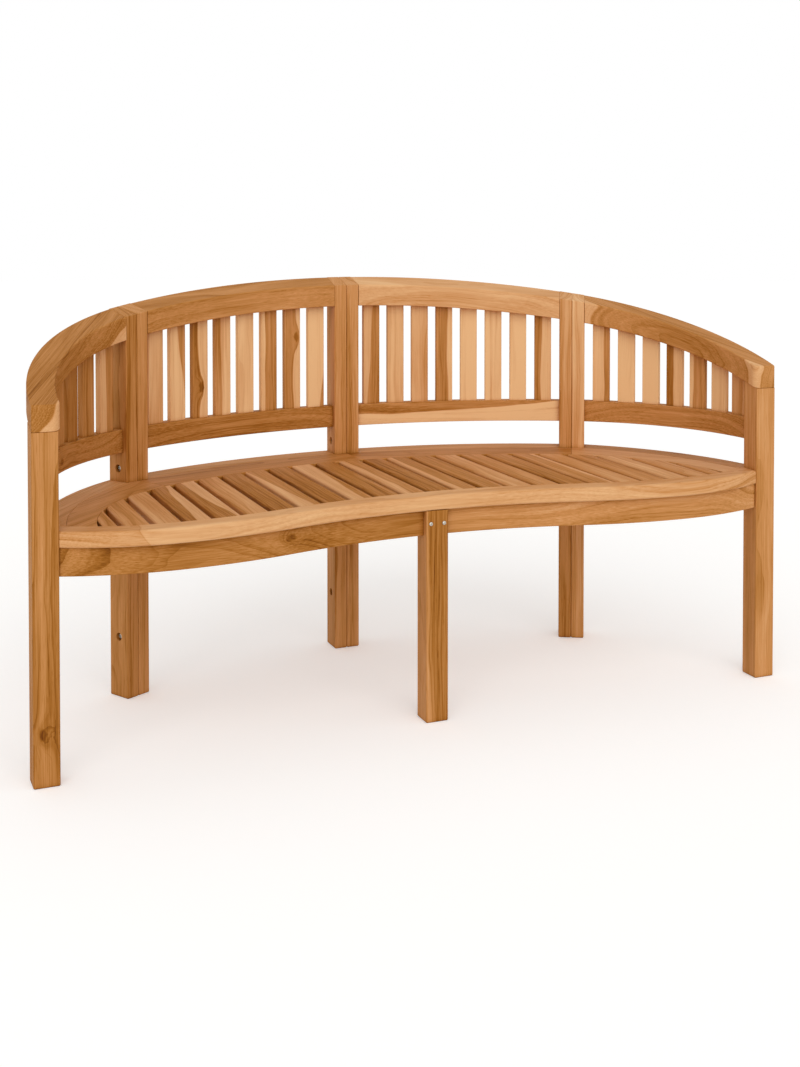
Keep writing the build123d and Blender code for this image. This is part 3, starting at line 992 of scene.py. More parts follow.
@dataclass
class Posts(Woodwork):
    """The three back posts, each of two halves bolted together."""

    corner: float = 3.0
    counterbore_diameter: float = 17.0
    # A negative fade darkens a half post towards the floor, most on the right side post.
    cuts: dict[str, Cut] = field(
        default_factory=lambda: {
            "middle_post_left": rift(Tone.HONEY, 0.4, -90.0, -0.1),
            "middle_post_right": rift(Tone.HONEY, 0.5, 80.0, -0.1),
            "side_post_inner_left": rift(Tone.HONEY, 0.25, 95.0, -0.05),
            "side_post_outer_left": rift(Tone.GOLDEN, 0.6, -110.0, -0.05),
            "side_post_inner_right": rift(Tone.HONEY, 0.4, -100.0, -0.3),
            "side_post_outer_right": rift(Tone.TAN, 0.3, 95.0, -0.35),
        }
    )

    def build(self) -> Iterator[Plank]:
        """Lay out the posts.

        Yields:
            Each half post, from the floor to the crest.
        """
        plan = self.plan
        halves = (
            ("middle_post", 0.0, plan.half_post_width / 2, 1),
            ("side_post_inner", plan.side_bearing, -plan.half_post_width / 2, -1),
            ("side_post_outer", plan.side_bearing, plan.half_post_width / 2, 1),
        )
        for side in Side:
            for word, bearing, along, way in halves:
                node = f"{word}_{side.word}"
                centre = beside(plan.back_centre, plan.back_radius, (bearing, along))
                outline = block(centre, bearing, plan.half_post_width, plan.post_depth, Rim.FOOT)
                grain = Grain.upright(fit(centre, side), plan.back_height / 2, side.value * bearing)
                yield Plank(
                    f"teak_{node}",
                    node,
                    handed(outline, side),
                    plan.crest(),
                    level(0.0),
                    grain,
                    self.cuts[node],
                    self.corner,
                    tuple(self.bores(bearing, way, side)),
                )

    def bores(self, bearing: float, way: int, side: Side) -> Iterator[Hole]:
        """Place the counterbores of a half post's bolts.

        Args:
            bearing: Bearing of the post.
            way: 1 where its outer face is towards larger bearings, or -1.
            side: Side of the bench on which it stands.

        Yields:
            Each counterbore, in the outer face.
        """
        plan = self.plan
        mouth = beside(plan.back_centre, plan.back_radius, (bearing, way * plan.half_post_width))
        t = sideways(bearing)
        inward = Vector((-way * side.value * t[0], -way * t[1], 0.0))
        for height in plan.bolt_heights:
            spot = Vector((*fit(mouth, side), height))
            yield Hole(spot, inward, self.counterbore_diameter, plan.counterbore_depth)


@dataclass
class Legs(Woodwork):
    """The three front legs: two that carry the arms and one under the seat's hollow."""

    corner: float = 3.0
    left: Cut = Cut(Tone.GOLDEN, (60.0, -70.0), 0.4, knot=(-226.0, -6.0), fade=-0.15)
    right: Cut = Cut(Tone.HONEY, (-40.0, -80.0), 0.2, fade=-0.05)
    # Sapwood beyond a ring of 521 mm pales the middle leg's left face and a strip at the left of its front;
    # on the left face this paleness is partly painted light.
    middle: Cut = Cut(Tone.BROWN, (500.0, -40.0), 0.3, 521.0, pale=Tone.HONEY, fade=0.1)

    def build(self) -> Iterator[Plank]:
        """Lay out the legs.

        Yields:
            Each leg, from the floor to the arm or the seat.
        """
        plan = self.plan
        under_arm = plan.crest(plan.top_rail_thickness)
        for word, spot, top, cut in (
            ("left", fit(plan.leg, Side.LEFT), under_arm, self.left),
            ("right", plan.leg, under_arm, self.right),
            ("middle", plan.middle_leg, level(plan.seat_underside), self.middle),
        ):
            node = f"front_leg_{word}"
            outline = block(spot, 0.0, plan.leg_size, plan.leg_size, Rim.FOOT)
            grain = Grain.upright(spot, top(*spot) / 2, 0.0)
            yield Plank(f"teak_{node}", node, outline, top, level(0.0), grain, cut, self.corner)


@dataclass
class TopRails(Woodwork):
    """The crest of the back: four curved rails in one sloping plane, the outer two running on as arms."""

    corner: float = 0.7
    inner_round: float = 14.0
    inner_step: float = 2.0
    outer_round: float = 4.0
    outer_step: float = 1.0
    cuts: dict[str, Cut] = field(
        default_factory=lambda: {
            "top_rail_centre_left": Cut(Tone.GOLDEN, (-30.0, -75.0), 0.3),
            "top_rail_centre_right": Cut(Tone.STRAW, (50.0, -60.0), 0.3),
            "top_rail_end_left": Cut(Tone.BROWN, (-64.0, 39.0), 0.2, 87.0, lean=-0.018, pale=Tone.STRAW),
            "top_rail_end_right": heart_on(Side.RIGHT, -12.0, Tone.GOLDEN, 0.7, pale=Tone.STRAW),
        }
    )

    def build(self) -> Iterator[Plank]:
        """Lay out the top rails.

        Yields:
            Each rail, between the faces of its posts or out over the leg.
        """
        plan = self.plan
        centre, end = plan.bays
        shapes = (
            (centre.word, centre.rail(plan.post_depth, Rim.CREST), centre.ends()),
            (end.word, self.arm(), [end.ends()[0], (plan.leg[0], plan.leg_front)]),
        )
        middle = plan.crest(plan.top_rail_thickness / 2)
        for side in Side:
            for word, outline, ends in shapes:
                node = f"top_rail_{word}_{side.word}"
                points = [Vector((*fit(point, side), middle(*point))) for point in ends]
                yield Plank(
                    f"teak_{node}",
                    node,
                    handed(outline, side),
                    plan.crest(),
                    plan.crest(plan.top_rail_thickness),
                    Grain.lying(*points),
                    self.cuts[node],
                    self.corner,
                )

    def arm(self) -> Outline:
        """Outline the right arm.

        Returns:
            The outline, whose outer line runs into the leg's outer face.
        """
        plan = self.plan
        half = plan.post_depth / 2
        centre = plan.end_centre
        inner = plan.end_radius - half
        inner_start = at(centre, inner, plan.side_outer_face)
        outer_start = at(centre, plan.end_radius + half, plan.side_outer_face)
        spread = plan.overall_width / 2 - outer_start[0]
        run = outer_start[1] - plan.leg[1]
        outer = (spread**2 + run**2) / (2 * spread)
        outer_centre = (plan.overall_width / 2 - outer, plan.leg[1])
        inside = self.front_round(centre, inner + self.inner_round, self.inner_round)
        outside = self.front_round(outer_centre, outer - self.outer_round, self.outer_round)
        inner_touch = towards(centre, inside, inner)
        outer_touch = towards(outer_centre, outside, outer)
        inner_foot = (inside[0], plan.leg_front)
        outer_foot = (outside[0], plan.leg_front)
        outline = Outline()
        outline.arc(centre, inner_start, inner_touch, Rim.CREST)
        outline.arc(inside, inner_touch, inner_foot, Rim.CREST, self.inner_step)
        outline.line(inner_foot, outer_foot, Rim.CREST)
        outline.arc(outside, outer_foot, outer_touch, Rim.CREST, self.outer_step)
        outline.arc(outer_centre, outer_touch, outer_start, Rim.CREST)
        outline.line(outer_start, inner_start, Rim.BUTT)
        return outline

    def front_round(self, centre: Point, reach: float, radius: float) -> Point:
        """Centre of a rounded corner at the arm's front, at a reach from the centre of its side's arc."""
        y = self.plan.leg_front + radius
        return (centre[0] + sqrt(reach**2 - (y - centre[1]) ** 2), y)


@dataclass
class LowerRails(Woodwork):
    """The level rails that carry the feet of the back slats."""

    depth: float = 49.0
    thickness: float = 30.0
    corner: float = 0.7
    cuts: dict[str, Cut] = field(
        default_factory=lambda: {
            "lower_rail_centre_left": Cut(Tone.BROWN, (-60.0, -30.0), 0.25),
            "lower_rail_centre_right": Cut(
                Tone.GOLDEN, (90.0, -20.0), 0.6, 84.0, lean=-0.045, pale=Tone.PALE
            ),
            "lower_rail_end_left": Cut(Tone.BROWN, (40.0, -20.0), 0.7, knot=(15.0, -4.0)),
            "lower_rail_end_right": Cut(Tone.GOLDEN, (-45.0, -25.0), 0.4),
        }
    )

    def build(self) -> Iterator[Plank]:
        """Lay out the lower rails.

        Yields:
            Each rail, between the faces of its posts.
        """
        top = self.plan.lower_rail_top
        for side in Side:
            for bay in self.plan.bays:
                node = f"lower_rail_{bay.word}_{side.word}"
                ends = [Vector((*fit(point, side), top - self.depth / 2)) for point in bay.ends()]
                yield Plank(
                    f"teak_{node}",
                    node,
                    handed(bay.rail(self.thickness, Rim.RAIL), side),
                    level(top),
                    level(top - self.depth),
                    Grain.on_edge(*ends),
                    self.cuts[node],
                    self.corner,
                )


@dataclass
class BackSlats(Woodwork):
    """The upright slats of the four back panels, let into the rails above and below.

    The cuts of a panel run from the middle of the bench outwards.
    """

    width: float = 40.0
    thickness: float = 14.0
    let_in: float = 3.0
    corner: float = 2.0
    centre_left: tuple[Cut, ...] = (
        heart_on(Side.RIGHT, 23.0, Tone.HONEY, 0.2, lean=-0.14, pale=Tone.PALE),
        heart_on(Side.LEFT, 6.0, Tone.GOLDEN, 0.7, (45.0, 10.0)),
        heart_on(Side.RIGHT, -8.0, Tone.GOLDEN, 0.5),
        Cut(Tone.PALE, (-20.0, -45.0), 0.2),
        heart_on(Side.LEFT, -5.0, Tone.HONEY, 0.6),
        heart_on(Side.LEFT, -2.0, Tone.BROWN, 0.5, (-45.0, 2.0)),
        heart_on(Side.RIGHT, 8.0, Tone.HONEY, 0.4, lean=0.12),
        Cut(Tone.STRAW, (60.0, -20.0), 0.2),
    )
    centre_right: tuple[Cut, ...] = (
        heart_on(Side.RIGHT, -2.0, Tone.GOLDEN, 0.9, lean=-0.06, pale=Tone.STRAW),
        Cut(Tone.STRAW, (70.0, -10.0), 0.3),
        Cut(Tone.STRAW, (-16.0, -40.0), 0.15),
        heart_on(Side.LEFT, 11.0, Tone.GOLDEN, 0.4),
        Cut(Tone.PALE, (60.0, -25.0), 0.15),
        Cut(Tone.PALE, (-55.0, -15.0), 0.5),
        Cut(Tone.PALE, (25.0, -60.0), 0.15),
        heart_on(Side.LEFT, -1.0, Tone.BROWN, 0.5),
    )
    end_left: tuple[Cut, ...] = (
        heart_on(Side.RIGHT, -4.0, Tone.GOLDEN, 0.5, pale=Tone.STRAW),
        Cut(Tone.GOLDEN, (-60.0, -20.0), 0.5),
        Cut(Tone.BROWN, (50.0, -20.0), 0.6),
        Cut(Tone.GOLDEN, (-35.0, -40.0), 0.5),
        heart_on(Side.LEFT, 4.0, Tone.BROWN, 0.6),
        Cut(Tone.HONEY, (45.0, -30.0), 0.4),
        Cut(Tone.GOLDEN, (-70.0, -15.0), 0.4),
    )
    end_right: tuple[Cut, ...] = (
        heart_on(Side.RIGHT, 7.0, Tone.HONEY, 0.3),
        Cut(Tone.PALE, (50.0, -20.0), 0.1),
        Cut(Tone.PALE, (-20.0, -50.0), 0.15),
        heart_on(Side.LEFT, 3.0, Tone.DARK, 0.6),
        heart_on(Side.RIGHT, -9.0, Tone.HONEY, 0.4),
        Cut(Tone.CREAM, (40.0, -35.0), 0.4),
        Cut(Tone.TAN, (65.0, -15.0), 0.5),
    )

    def build(self) -> Iterator[Plank]:
        """Lay out the back slats.

        Yields:
            Each slat, panel by panel.
        """
        plan = self.plan
        centre, end = plan.bays
        panels = (
            (centre, Side.LEFT, self.centre_left),
            (centre, Side.RIGHT, self.centre_right),
            (end, Side.LEFT, self.end_left),
            (end, Side.RIGHT, self.end_right),
        )
        foot = plan.lower_rail_top - self.let_in
        top = plan.crest(plan.top_rail_thickness - self.let_in)
        for bay, side, cuts in panels:
            bearings = self.bearings(bay, len(cuts))
            for number, (bearing, cut) in enumerate(zip(bearings, cuts), start=1):
                middle = at(bay.centre, bay.radius, (bearing, 0.0))
                outline = block(middle, bearing, self.width, self.thickness, Rim.BUTT)
                spot = fit(middle, side)
                yield Plank(
                    f"teak_back_slat_{bay.word}_{side.word}_{number:02d}",
                    f"back_slats_{bay.word}_{side.word}",
                    handed(outline, side),
                    top,
                    level(foot),
                    Grain.upright(spot, (foot + top(*spot)) / 2, side.value * bearing),
                    cut,
                    self.corner,
                )

    def bearings(self, bay: Bay, count: int) -> list[float]:
        """Spread slats over a bay with equal gaps.

        Args:
            bay: The bay that they fill.
            count: How many they are.

        Returns:
            The bearing of each slat, in degrees.
        """
        start, stop = (radians(face[0]) + atan(face[1] / bay.radius) for face in (bay.first, bay.last))
        gap = (bay.radius * (stop - start) - count * self.width) / (count + 1)
        arcs = [gap * (index + 1) + self.width * (index + 0.5) for index in range(count)]
        return [degrees(start + arc / bay.radius) for arc in arcs]


@dataclass
class SeatFrame(Woodwork):
    """The frame round the seat slats: S-curved front rail, mitred boards and outer rails."""

    side_rail_width: float = 54.0
    side_rail_flare: float = 110.0
    side_rail_inset: float = 45.0
    corner: float = 0.7
    front_cut: Cut = Cut(Tone.TAN, (10.0, -110.0), 0.8, -485.0, lean=-1.0, pale=Tone.STRAW, fade=0.05)
    cuts: dict[str, Cut] = field(
        default_factory=lambda: {
            "seat_board_centre_left": Cut(Tone.GOLDEN, (30.0, -50.0), 0.3),
            "seat_board_centre_right": Cut(Tone.GOLDEN, (-20.0, -60.0), 0.3),
            "seat_board_end_left": Cut(Tone.HONEY, (40.0, -60.0), 0.3),
            "seat_board_end_right": Cut(Tone.TAN, (-30.0, -70.0), 0.3),
            "seat_rail_centre_left": Cut(Tone.HONEY, (-40.0, -40.0), 0.4),
            "seat_rail_centre_right": Cut(Tone.HONEY, (50.0, -30.0), 0.3),
            "seat_rail_end_left": Cut(Tone.HONEY, (-50.0, -50.0), 0.4),
            "seat_rail_end_right": Cut(Tone.GOLDEN, (60.0, -40.0), 0.3),
        }
    )

    @property
    def post_corner(self) -> Point:
        """Front corner of the right side post, where the outer end rail begins."""
        plan = self.plan
        return beside(plan.back_centre, plan.back_radius - plan.post_depth / 2, plan.side_outer_face)

    @property
    def rail_end(self) -> Point:
        """Where the outer end rail's inner line meets the back of the leg."""
        return (self.plan.leg[0] - self.side_rail_inset, self.plan.leg_back)

    @property
    def rail_radius(self) -> float:
        """Radius of the outer end rail's inner line."""
        return self.plan.end_radius + self.side_rail_flare

    @property
    def rail_centre(self) -> Point:
        """Find the centre of the outer end rail's arcs.

        Returns:
            The point in plan.
        """
        start = Vector(self.post_corner)
        chord = Vector(self.rail_end) - start
        drop = sqrt(self.rail_radius**2 - chord.length_squared / 4)
        along = chord.normalized()
        return tuple(start + chord / 2 + drop * Vector((along.y, -along.x)))

    def build(self) -> Iterator[Plank]:
        """Lay out the seat's frame.

        Yields:
            The front rail, then the boards and rails of each side.
        """
        legs = (-self.plan.leg_inner, self.plan.leg_inner)
        yield self.plank("seat_front_rail", self.front_rail(), legs, self.front_cut)
        for side in Side:
            for word, outline in self.outlines():
                node = f"{word}_{side.word}"
                hand = handed(outline, side)
                xs = [x for x, _ in hand.points]
                yield self.plank(node, hand, (min(xs), max(xs)), self.cuts[node])

    def plank(self, node: str, outline: Outline, span: Point, cut: Cut) -> Plank:
        """Lay out a board of the seat's frame.

        Args:
            node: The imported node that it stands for.
            outline: Its outline.
            span: Place of its left and right end, from the middle of the bench.
            cut: Where it was sawn from its log.

        Returns:
            The board, with its fibres along the chord between its ends.
        """
        plan = self.plan
        height = plan.seat_height - plan.seat_thickness / 2
        ends = [min(outline.points, key=lambda point: abs(point[0] - x)) for x in span]
        grain = Grain.lying(Vector((*ends[0], height)), Vector((*ends[1], height)))
        top = level(plan.seat_height)
        under = level(plan.seat_underside)
        return Plank(f"teak_{node}", node, outline, top, under, grain, cut, self.corner)

    def front_rail(self) -> Outline:
        """Outline the front rail.

        Returns:
            The outline, from leg to leg.
        """
        plan = self.plan
        across = steps(-plan.leg_inner, plan.leg_inner)
        front = [(x, plan.rail_front(x)) for x in across]
        back = [(x, plan.rail_back(x)) for x in reversed(across)]
        return strip(front, back, (Rim.NOSE, Rim.SEAM), Rim.BUTT)

    def outlines(self) -> Iterator[tuple[str, Outline]]:
        """Outline the boards and outer rails of the right side.

        Yields:
            Each one's name and outline.
        """
        plan = self.plan
        mitres = ((0.0, 0.0), (plan.side_bearing, 0.0))
        outer = plan.back_radius - plan.post_depth / 2
        yield "seat_board_centre", band(plan.back_centre, plan.field_radius, outer, *mitres, Rim.SEAM)
        yield "seat_board_end", self.end_board()
        yield "seat_rail_centre", plan.bays[0].rail(plan.post_depth, Rim.BOARD)
        yield "seat_rail_end", self.end_rail()

    def end_board(self) -> Outline:
        """Outline the right end's broad board.

        Returns:
            The outline, between the slats and the outer rail.
        """
        plan = self.plan
        mitre_outer = at(plan.back_centre, plan.back_radius - plan.post_depth / 2, (plan.side_bearing, 0.0))
        tip = (plan.field_tip, plan.rail_back(plan.field_tip))
        nose = [(x, plan.rail_back(x)) for x in steps(plan.field_tip, plan.board_corner)]
        outline = Outline()
        outline.arc(plan.field_end_centre, plan.field_mitre, tip, Rim.SEAM)
        outline.run(nose, Rim.SEAM)
        outline.line(nose[-1], self.rail_end, Rim.SEAM)
        outline.arc(self.rail_centre, self.rail_end, self.post_corner, Rim.SEAM)
        outline.line(self.post_corner, mitre_outer, Rim.SEAM)
        outline.line(mitre_outer, plan.field_mitre, Rim.SEAM)
        return outline

    def end_rail(self) -> Outline:
        """Outline the right end's outer rail.

        Returns:
            The outline, from the side post to the back of the leg.
        """
        plan = self.plan
        outer = self.rail_radius + self.side_rail_width
        n = Vector(outward(plan.side_bearing))
        way = Vector(self.post_corner) - Vector(self.rail_centre)
        lean = way.dot(n)
        start = Vector(self.post_corner) + n * (sqrt(lean**2 - way.length_squared + outer**2) - lean)
        rise = plan.leg_back - self.rail_centre[1]
        far = (self.rail_centre[0] + sqrt(outer**2 - rise**2), plan.leg_back)
        outline = Outline()
        outline.arc(self.rail_centre, self.post_corner, self.rail_end, Rim.SEAM)
        outline.line(self.rail_end, far, Rim.BUTT)
        outline.arc(self.rail_centre, far, tuple(start), Rim.BOARD)
        outline.line(tuple(start), self.post_corner, Rim.BUTT)
        return outline


@dataclass
class SeatSlats(Woodwork):
    """The slats of the seat, laid from front to back with open gaps.

    The cuts run from the middle of the bench outwards.
    """

    count: int = 11
    gap: float = 10.0
    thickness: float = 20.0
    tip_room: float = 35.0
    tip_hole: float = 8.0
    corner: float = 0.7
    left: tuple[Cut, ...] = (
        heart_on(Side.RIGHT, -8.0, Tone.GOLDEN, 0.3, pale=Tone.STRAW),
        Cut(Tone.BROWN, (30.0, -40.0), 0.3),
        heart_on(Side.RIGHT, 8.0, Tone.GOLDEN, 0.2, lean=0.03, pale=Tone.STRAW),
        Cut(Tone.BROWN, (-40.0, -30.0), 0.3),
        heart_on(Side.RIGHT, -10.0, Tone.GOLDEN, 0.2, lean=-0.05, pale=Tone.STRAW),
        Cut(Tone.BROWN, (45.0, -25.0), 0.2),
        heart_on(Side.LEFT, 4.0, Tone.HONEY, 0.3, lean=-0.04, pale=Tone.TAN),
        heart_on(Side.LEFT, -6.0, Tone.BROWN, 0.2, lean=0.06, pale=Tone.STRAW),
        heart_on(Side.LEFT, 8.0, Tone.BROWN, 0.2, lean=-0.05, pale=Tone.STRAW),
        Cut(Tone.TAN, (40.0, -30.0), 0.3),
        Cut(Tone.HONEY, (-50.0, -20.0), 0.3),
        Cut(Tone.HONEY, (30.0, -30.0), 0.3),
    )
    right: tuple[Cut, ...] = (
        Cut(Tone.BROWN, (-50.0, -30.0), 0.3),
        heart_on(Side.RIGHT, -12.0, Tone.GOLDEN, 0.2, pale=Tone.STRAW),
        Cut(Tone.GOLDEN, (-40.0, -30.0), 0.3),
        Cut(Tone.TAN, (30.0, -40.0), 0.2),
        Cut(Tone.HONEY, (-50.0, -20.0), 0.2),
        Cut(Tone.GOLDEN, (50.0, -20.0), 0.2),
        heart_on(Side.LEFT, 12.0, Tone.HONEY, 0.2, pale=Tone.STRAW),
        Cut(Tone.TAN, (-40.0, -30.0), 0.2),
        Cut(Tone.HONEY, (25.0, -50.0), 0.3),
        Cut(Tone.STRAW, (60.0, -20.0), 0.2),
        Cut(Tone.TAN, (-30.0, -40.0), 0.2),
        Cut(Tone.TAN, (30.0, -30.0), 0.3),
    )

    def spans(self) -> list[Point]:
        """Divide the right half of the seat into slats.

        Returns:
            Left and right edge of each slat, from the middle out to the narrow one at the tip.
        """
        tip = self.plan.field_tip
        start = self.gap / 2
        pitch = (tip - self.tip_room - start) / self.count
        lefts = [start + index * pitch for index in range(self.count)]
        edges = [(left, left + pitch - self.gap) for left in lefts]
        return [*edges, (tip - self.tip_room, tip - self.tip_hole)]

    def build(self) -> Iterator[Plank]:
        """Lay out the seat slats.

        Yields:
            Each slat, from the front rail to the boards behind.
        """
        plan = self.plan
        for side, cuts in ((Side.LEFT, self.left), (Side.RIGHT, self.right)):
            for number, ((near, far), cut) in enumerate(zip(self.spans(), cuts), start=1):
                node = f"seat_slat_{number:02d}_{side.word}"
                front = [(x, plan.rail_back(x)) for x in steps(near, far)]
                back = [(x, plan.field_back(x)) for x in steps(far, near)]
                outline = strip(front, back, (Rim.BUTT, Rim.BUTT), Rim.SLAT)
                height = plan.seat_height - self.thickness / 2
                middle = side.value * (near + far) / 2
                start = Vector((middle, plan.front_line, height))
                end = Vector((middle, plan.overall_depth / 2, height))
                yield Plank(
                    f"teak_{node}",
                    node,
                    handed(outline, side),
                    level(plan.seat_height),
                    level(plan.seat_height - self.thickness),
                    Grain.lying(end, start),
                    cut,
                    self.corner,
                )


@dataclass
class UnderFrame(Woodwork):
    """The aprons that follow the seat's front line, and the bearer from the middle leg to the back."""

    setback: float = 16.0
    thickness: float = 22.0
    end_setback: float = 6.0
    bearer_width: float = 50.0
    corner: float = 0.7
    left: Cut = Cut(Tone.BROWN, (20.0, -70.0), 0.3, knot=(-70.0, 6.0))
    right: Cut = Cut(Tone.HONEY, (60.0, -30.0), 0.3)
    bearer: Cut = Cut(Tone.BROWN, (40.0, -50.0), 0.4)

    def build(self) -> Iterator[Plank]:
        """Lay out the frame under the seat.

        Yields:
            Both aprons, then the bearer.
        """
        plan = self.plan
        top = level(plan.seat_underside)
        under = level(plan.apron_underside)
        height = plan.seat_underside - plan.apron_depth / 2
        for side, cut in ((Side.LEFT, self.left), (Side.RIGHT, self.right)):
            node = f"front_apron_{side.word}"
            ends = [(x, plan.rail_front(x)) for x in (plan.leg_size / 2, plan.leg_inner)]
            grain = Grain.on_edge(*(Vector((*fit(point, side), height)) for point in ends))
            outline = handed(self.apron(), side)
            yield Plank(f"teak_{node}", node, outline, top, under, grain, cut, self.corner)
        front = plan.middle_leg[1] + plan.leg_size / 2
        back = plan.middle_post[1] - plan.post_depth / 2
        outline = block((0.0, (front + back) / 2), 0.0, self.bearer_width, back - front, Rim.HIDDEN)
        grain = Grain.lying(Vector((0.0, front, height)), Vector((0.0, back, height)))
        node = "centre_bearer"
        yield Plank(f"teak_{node}", node, outline, top, under, grain, self.bearer, self.corner)

    def apron(self) -> Outline:
        """Outline the right apron.

        Returns:
            The outline, from the middle leg to the end leg.
        """
        plan = self.plan
        closing = plan.closing_radius(self.setback, self.end_setback)
        rear_setback = self.setback + self.thickness
        across = steps(plan.leg_size / 2, plan.leg_inner)
        front = [(x, plan.front(x, self.setback, closing)) for x in across]
        rear = [(x, plan.front(x, rear_setback, closing - self.thickness)) for x in reversed(across)]
        return strip(front, rear, (Rim.HIDDEN, Rim.HIDDEN), Rim.BUTT)


@dataclass(frozen=True)
class ButtonHead:
    """A domed bolt head with a hexagon socket.

    Attributes:
        diameter: Its width, in mm.
        height: Its height, in mm.
        socket: Width of the socket across its flats, in mm.
        brim: Share of the height that its eased lower edge takes.
        brim_width: Share of the width that this edge leaves.
        shoulder: Share of the height at which the dome begins and the socket ends.
        dome_turn: How far the dome bends over, in degrees.
        dome_step: Turn from one of its rings to the next, in degrees.
        sunk: How far it stands in its seat, in mm.
        facets: Facets round it.
    """

    diameter: float
    height: float
    socket: float
    brim: float = 0.12
    brim_width: float = 0.96
    shoulder: float = 0.35
    dome_turn: float = 62.0
    dome_step: float = 10.0
    sunk: float = 0.2
    facets: int = 40

    def shape(self, name: str, seat: Vector, axis: Vector) -> Object:
        """Turn the head and sink its socket.

        Args:
            name: Name of the piece.
            seat: Middle of the face on which it stands, in mm.
            axis: The way it stands out.

        Returns:
            The piece, without a material.
        """
        clear = 2.0
        radius = self.diameter / 2
        foot = self.height * self.shoulder
        turns = steps(0.0, radians(self.dome_turn), radians(self.dome_step))
        dome = [(radius * cos(turn), foot + (self.height - foot) * sin(turn)) for turn in turns]
        brim = [(radius * self.brim_width, -self.sunk), (radius, self.height * self.brim)]
        body = turned(name, [*brim, *dome], seat, axis, self.facets)
        corner = self.socket / sqrt(3)
        key = turned("key", [(corner, foot), (corner, self.height + clear)], seat, axis, HEXAGON)
        body.modifiers.new("socket", "BOOLEAN").object = key
        applied(body)
        bpy.data.objects.remove(key)
        smooth(body)
        return body


@dataclass
class Bolts:
    """The steel bolts and nuts: through the posts' halves, and from the middle leg into the bearer.

    Attributes:
        plan: The bench's plan.
        post_head: Head of the bolts through the posts.
        leg_head: Head of the bolts in the middle leg.
        leg_spacing: Distance between the latter.
        shank_diameter: Thickness of the posts' bolts.
        nut_width: Width of a nut across its flats.
        nut_height: Height of a nut.
        nut_ease: Height of the ease at a nut's top.
        nut_top: Share of its width that this leaves.
        end_reach: How far a bolt's end stands out of its nut.
        end_ease: Width and height of the ease at that end.
        end_facets: Facets round it.
    """

    plan: BenchPlan
    post_head: ButtonHead = ButtonHead(diameter=13.0, height=6.0, socket=6.0)
    leg_head: ButtonHead = ButtonHead(diameter=8.0, height=2.5, socket=3.0)
    leg_spacing: float = 29.0
    shank_diameter: float = 8.0
    nut_width: float = 13.0
    nut_height: float = 6.5
    nut_ease: float = 1.0
    nut_top: float = 0.9
    end_reach: float = 2.0
    end_ease: Pair = (0.8, 0.5)
    end_facets: int = 32

    def build(self) -> Iterator[tuple[str, Object]]:
        """Shape the bolt heads and nuts that can be seen.

        Yields:
            The node that each one stands for, and the piece.
        """
        plan = self.plan
        grip = 2 * (plan.half_post_width - plan.counterbore_depth)
        for word, mouth, axis in self.post_axes():
            seat = mouth - axis * plan.counterbore_depth
            yield "post_bolts", self.post_head.shape(f"steel_post_bolt_{word}", seat, axis)
            yield "post_nuts", self.nut(f"steel_post_nut_{word}", seat - axis * grip, -axis)
        height = (plan.seat_underside + plan.apron_underside) / 2
        face = plan.middle_leg[1] - plan.leg_size / 2
        for side in Side:
            mouth = Vector((side.value * self.leg_spacing / 2, face, height))
            axis = Vector((0.0, -1.0, 0.0))
            yield "leg_bolts", self.leg_head.shape(f"steel_leg_bolt_{side.word}", mouth, axis)

    def post_axes(self) -> Iterator[tuple[str, Vector, Vector]]:
        """Find the bolts through the posts.

        Yields:
            The name, mouth and outward axis of each one.
        """
        plan = self.plan
        outer = beside(plan.back_centre, plan.back_radius, plan.side_outer_face)
        t = sideways(plan.side_bearing)
        for number, height in enumerate(plan.bolt_heights, start=1):
            for side in Side:
                axis = Vector((side.value * t[0], t[1], 0.0))
                yield f"{side.word}_{number}", Vector((*fit(outer, side), height)), axis
            mouth = Vector((-plan.half_post_width, plan.middle_post[1], height))
            yield f"middle_{number}", mouth, Vector((-1.0, 0.0, 0.0))

    def nut(self, name: str, seat: Vector, axis: Vector) -> Object:
        """Shape a nut with eased corners, and the bolt's end that stands out of it.

        Args:
            name: Name of the piece.
            seat: Middle of the face on which the nut stands, in mm.
            axis: The way it stands out.

        Returns:
            The piece, without a material.
        """
        corner = self.nut_width / sqrt(3)
        top = self.nut_height
        flats = [(corner, 0.0), (corner, top - self.nut_ease), (corner * self.nut_top, top)]
        thread = self.shank_diameter / 2
        width, height = self.end_ease
        reach = top + self.end_reach
        body = turned(name, flats, seat, axis, HEXAGON)
        end = [(thread, top), (thread, reach - height), (thread - width, reach)]
        tip = turned("tip", end, seat, axis, self.end_facets)
        with bpy.context.temp_override(active_object=body, selected_editable_objects=[body, tip]):
            bpy.ops.object.join()
        smooth(body)
        return body

    def dress(self, material: Material) -> None:
        """Give each fastener its finish and put it in its node's place.

        Args:
            material: The finish of bolts and nuts.
        """
        for node, piece in self.build():
            finish(piece, [material])
            place(piece, node, "steel")


def linear(code: str) -> tuple[float, float, float, float]:
    """Turn an sRGB hex colour into linear light, with full alpha."""
    parts = [int(code[index : index + 2], 16) / 255 for index in (1, 3, 5)]
    return (*(c / 12.92 if c <= 0.04045 else ((c + 0.055) / 1.055) ** 2.4 for c in parts), 1.0)


def add_node(
    tree: NodeTree,
    kind: str,
    inputs: dict[str | int, object] | None = None,
    output: str | int = 0,
    **settings: object,
) -> NodeSocket:
    """Add a node, with its settings, values and links.

    Args:
        tree: Node tree of a material or world.
        kind: Type of the node, without its first word, ShaderNode.
        inputs: A value or a linked socket for each of its inputs.
        output: The output to hand back.
        settings: The node's own properties.

    Returns:
        That output's socket, or the first input's where the node has no output.
    """
    node = tree.nodes.new(f"ShaderNode{kind}")
    for name, setting in settings.items():
        setattr(node, name, setting)
    for name, value in (inputs or {}).items():
        if isinstance(value, NodeSocket):
            tree.links.new(value, node.inputs[name])
        else:
            node.inputs[name].default_value = value
    return node.outputs[output] if node.outputs else node.inputs[0]


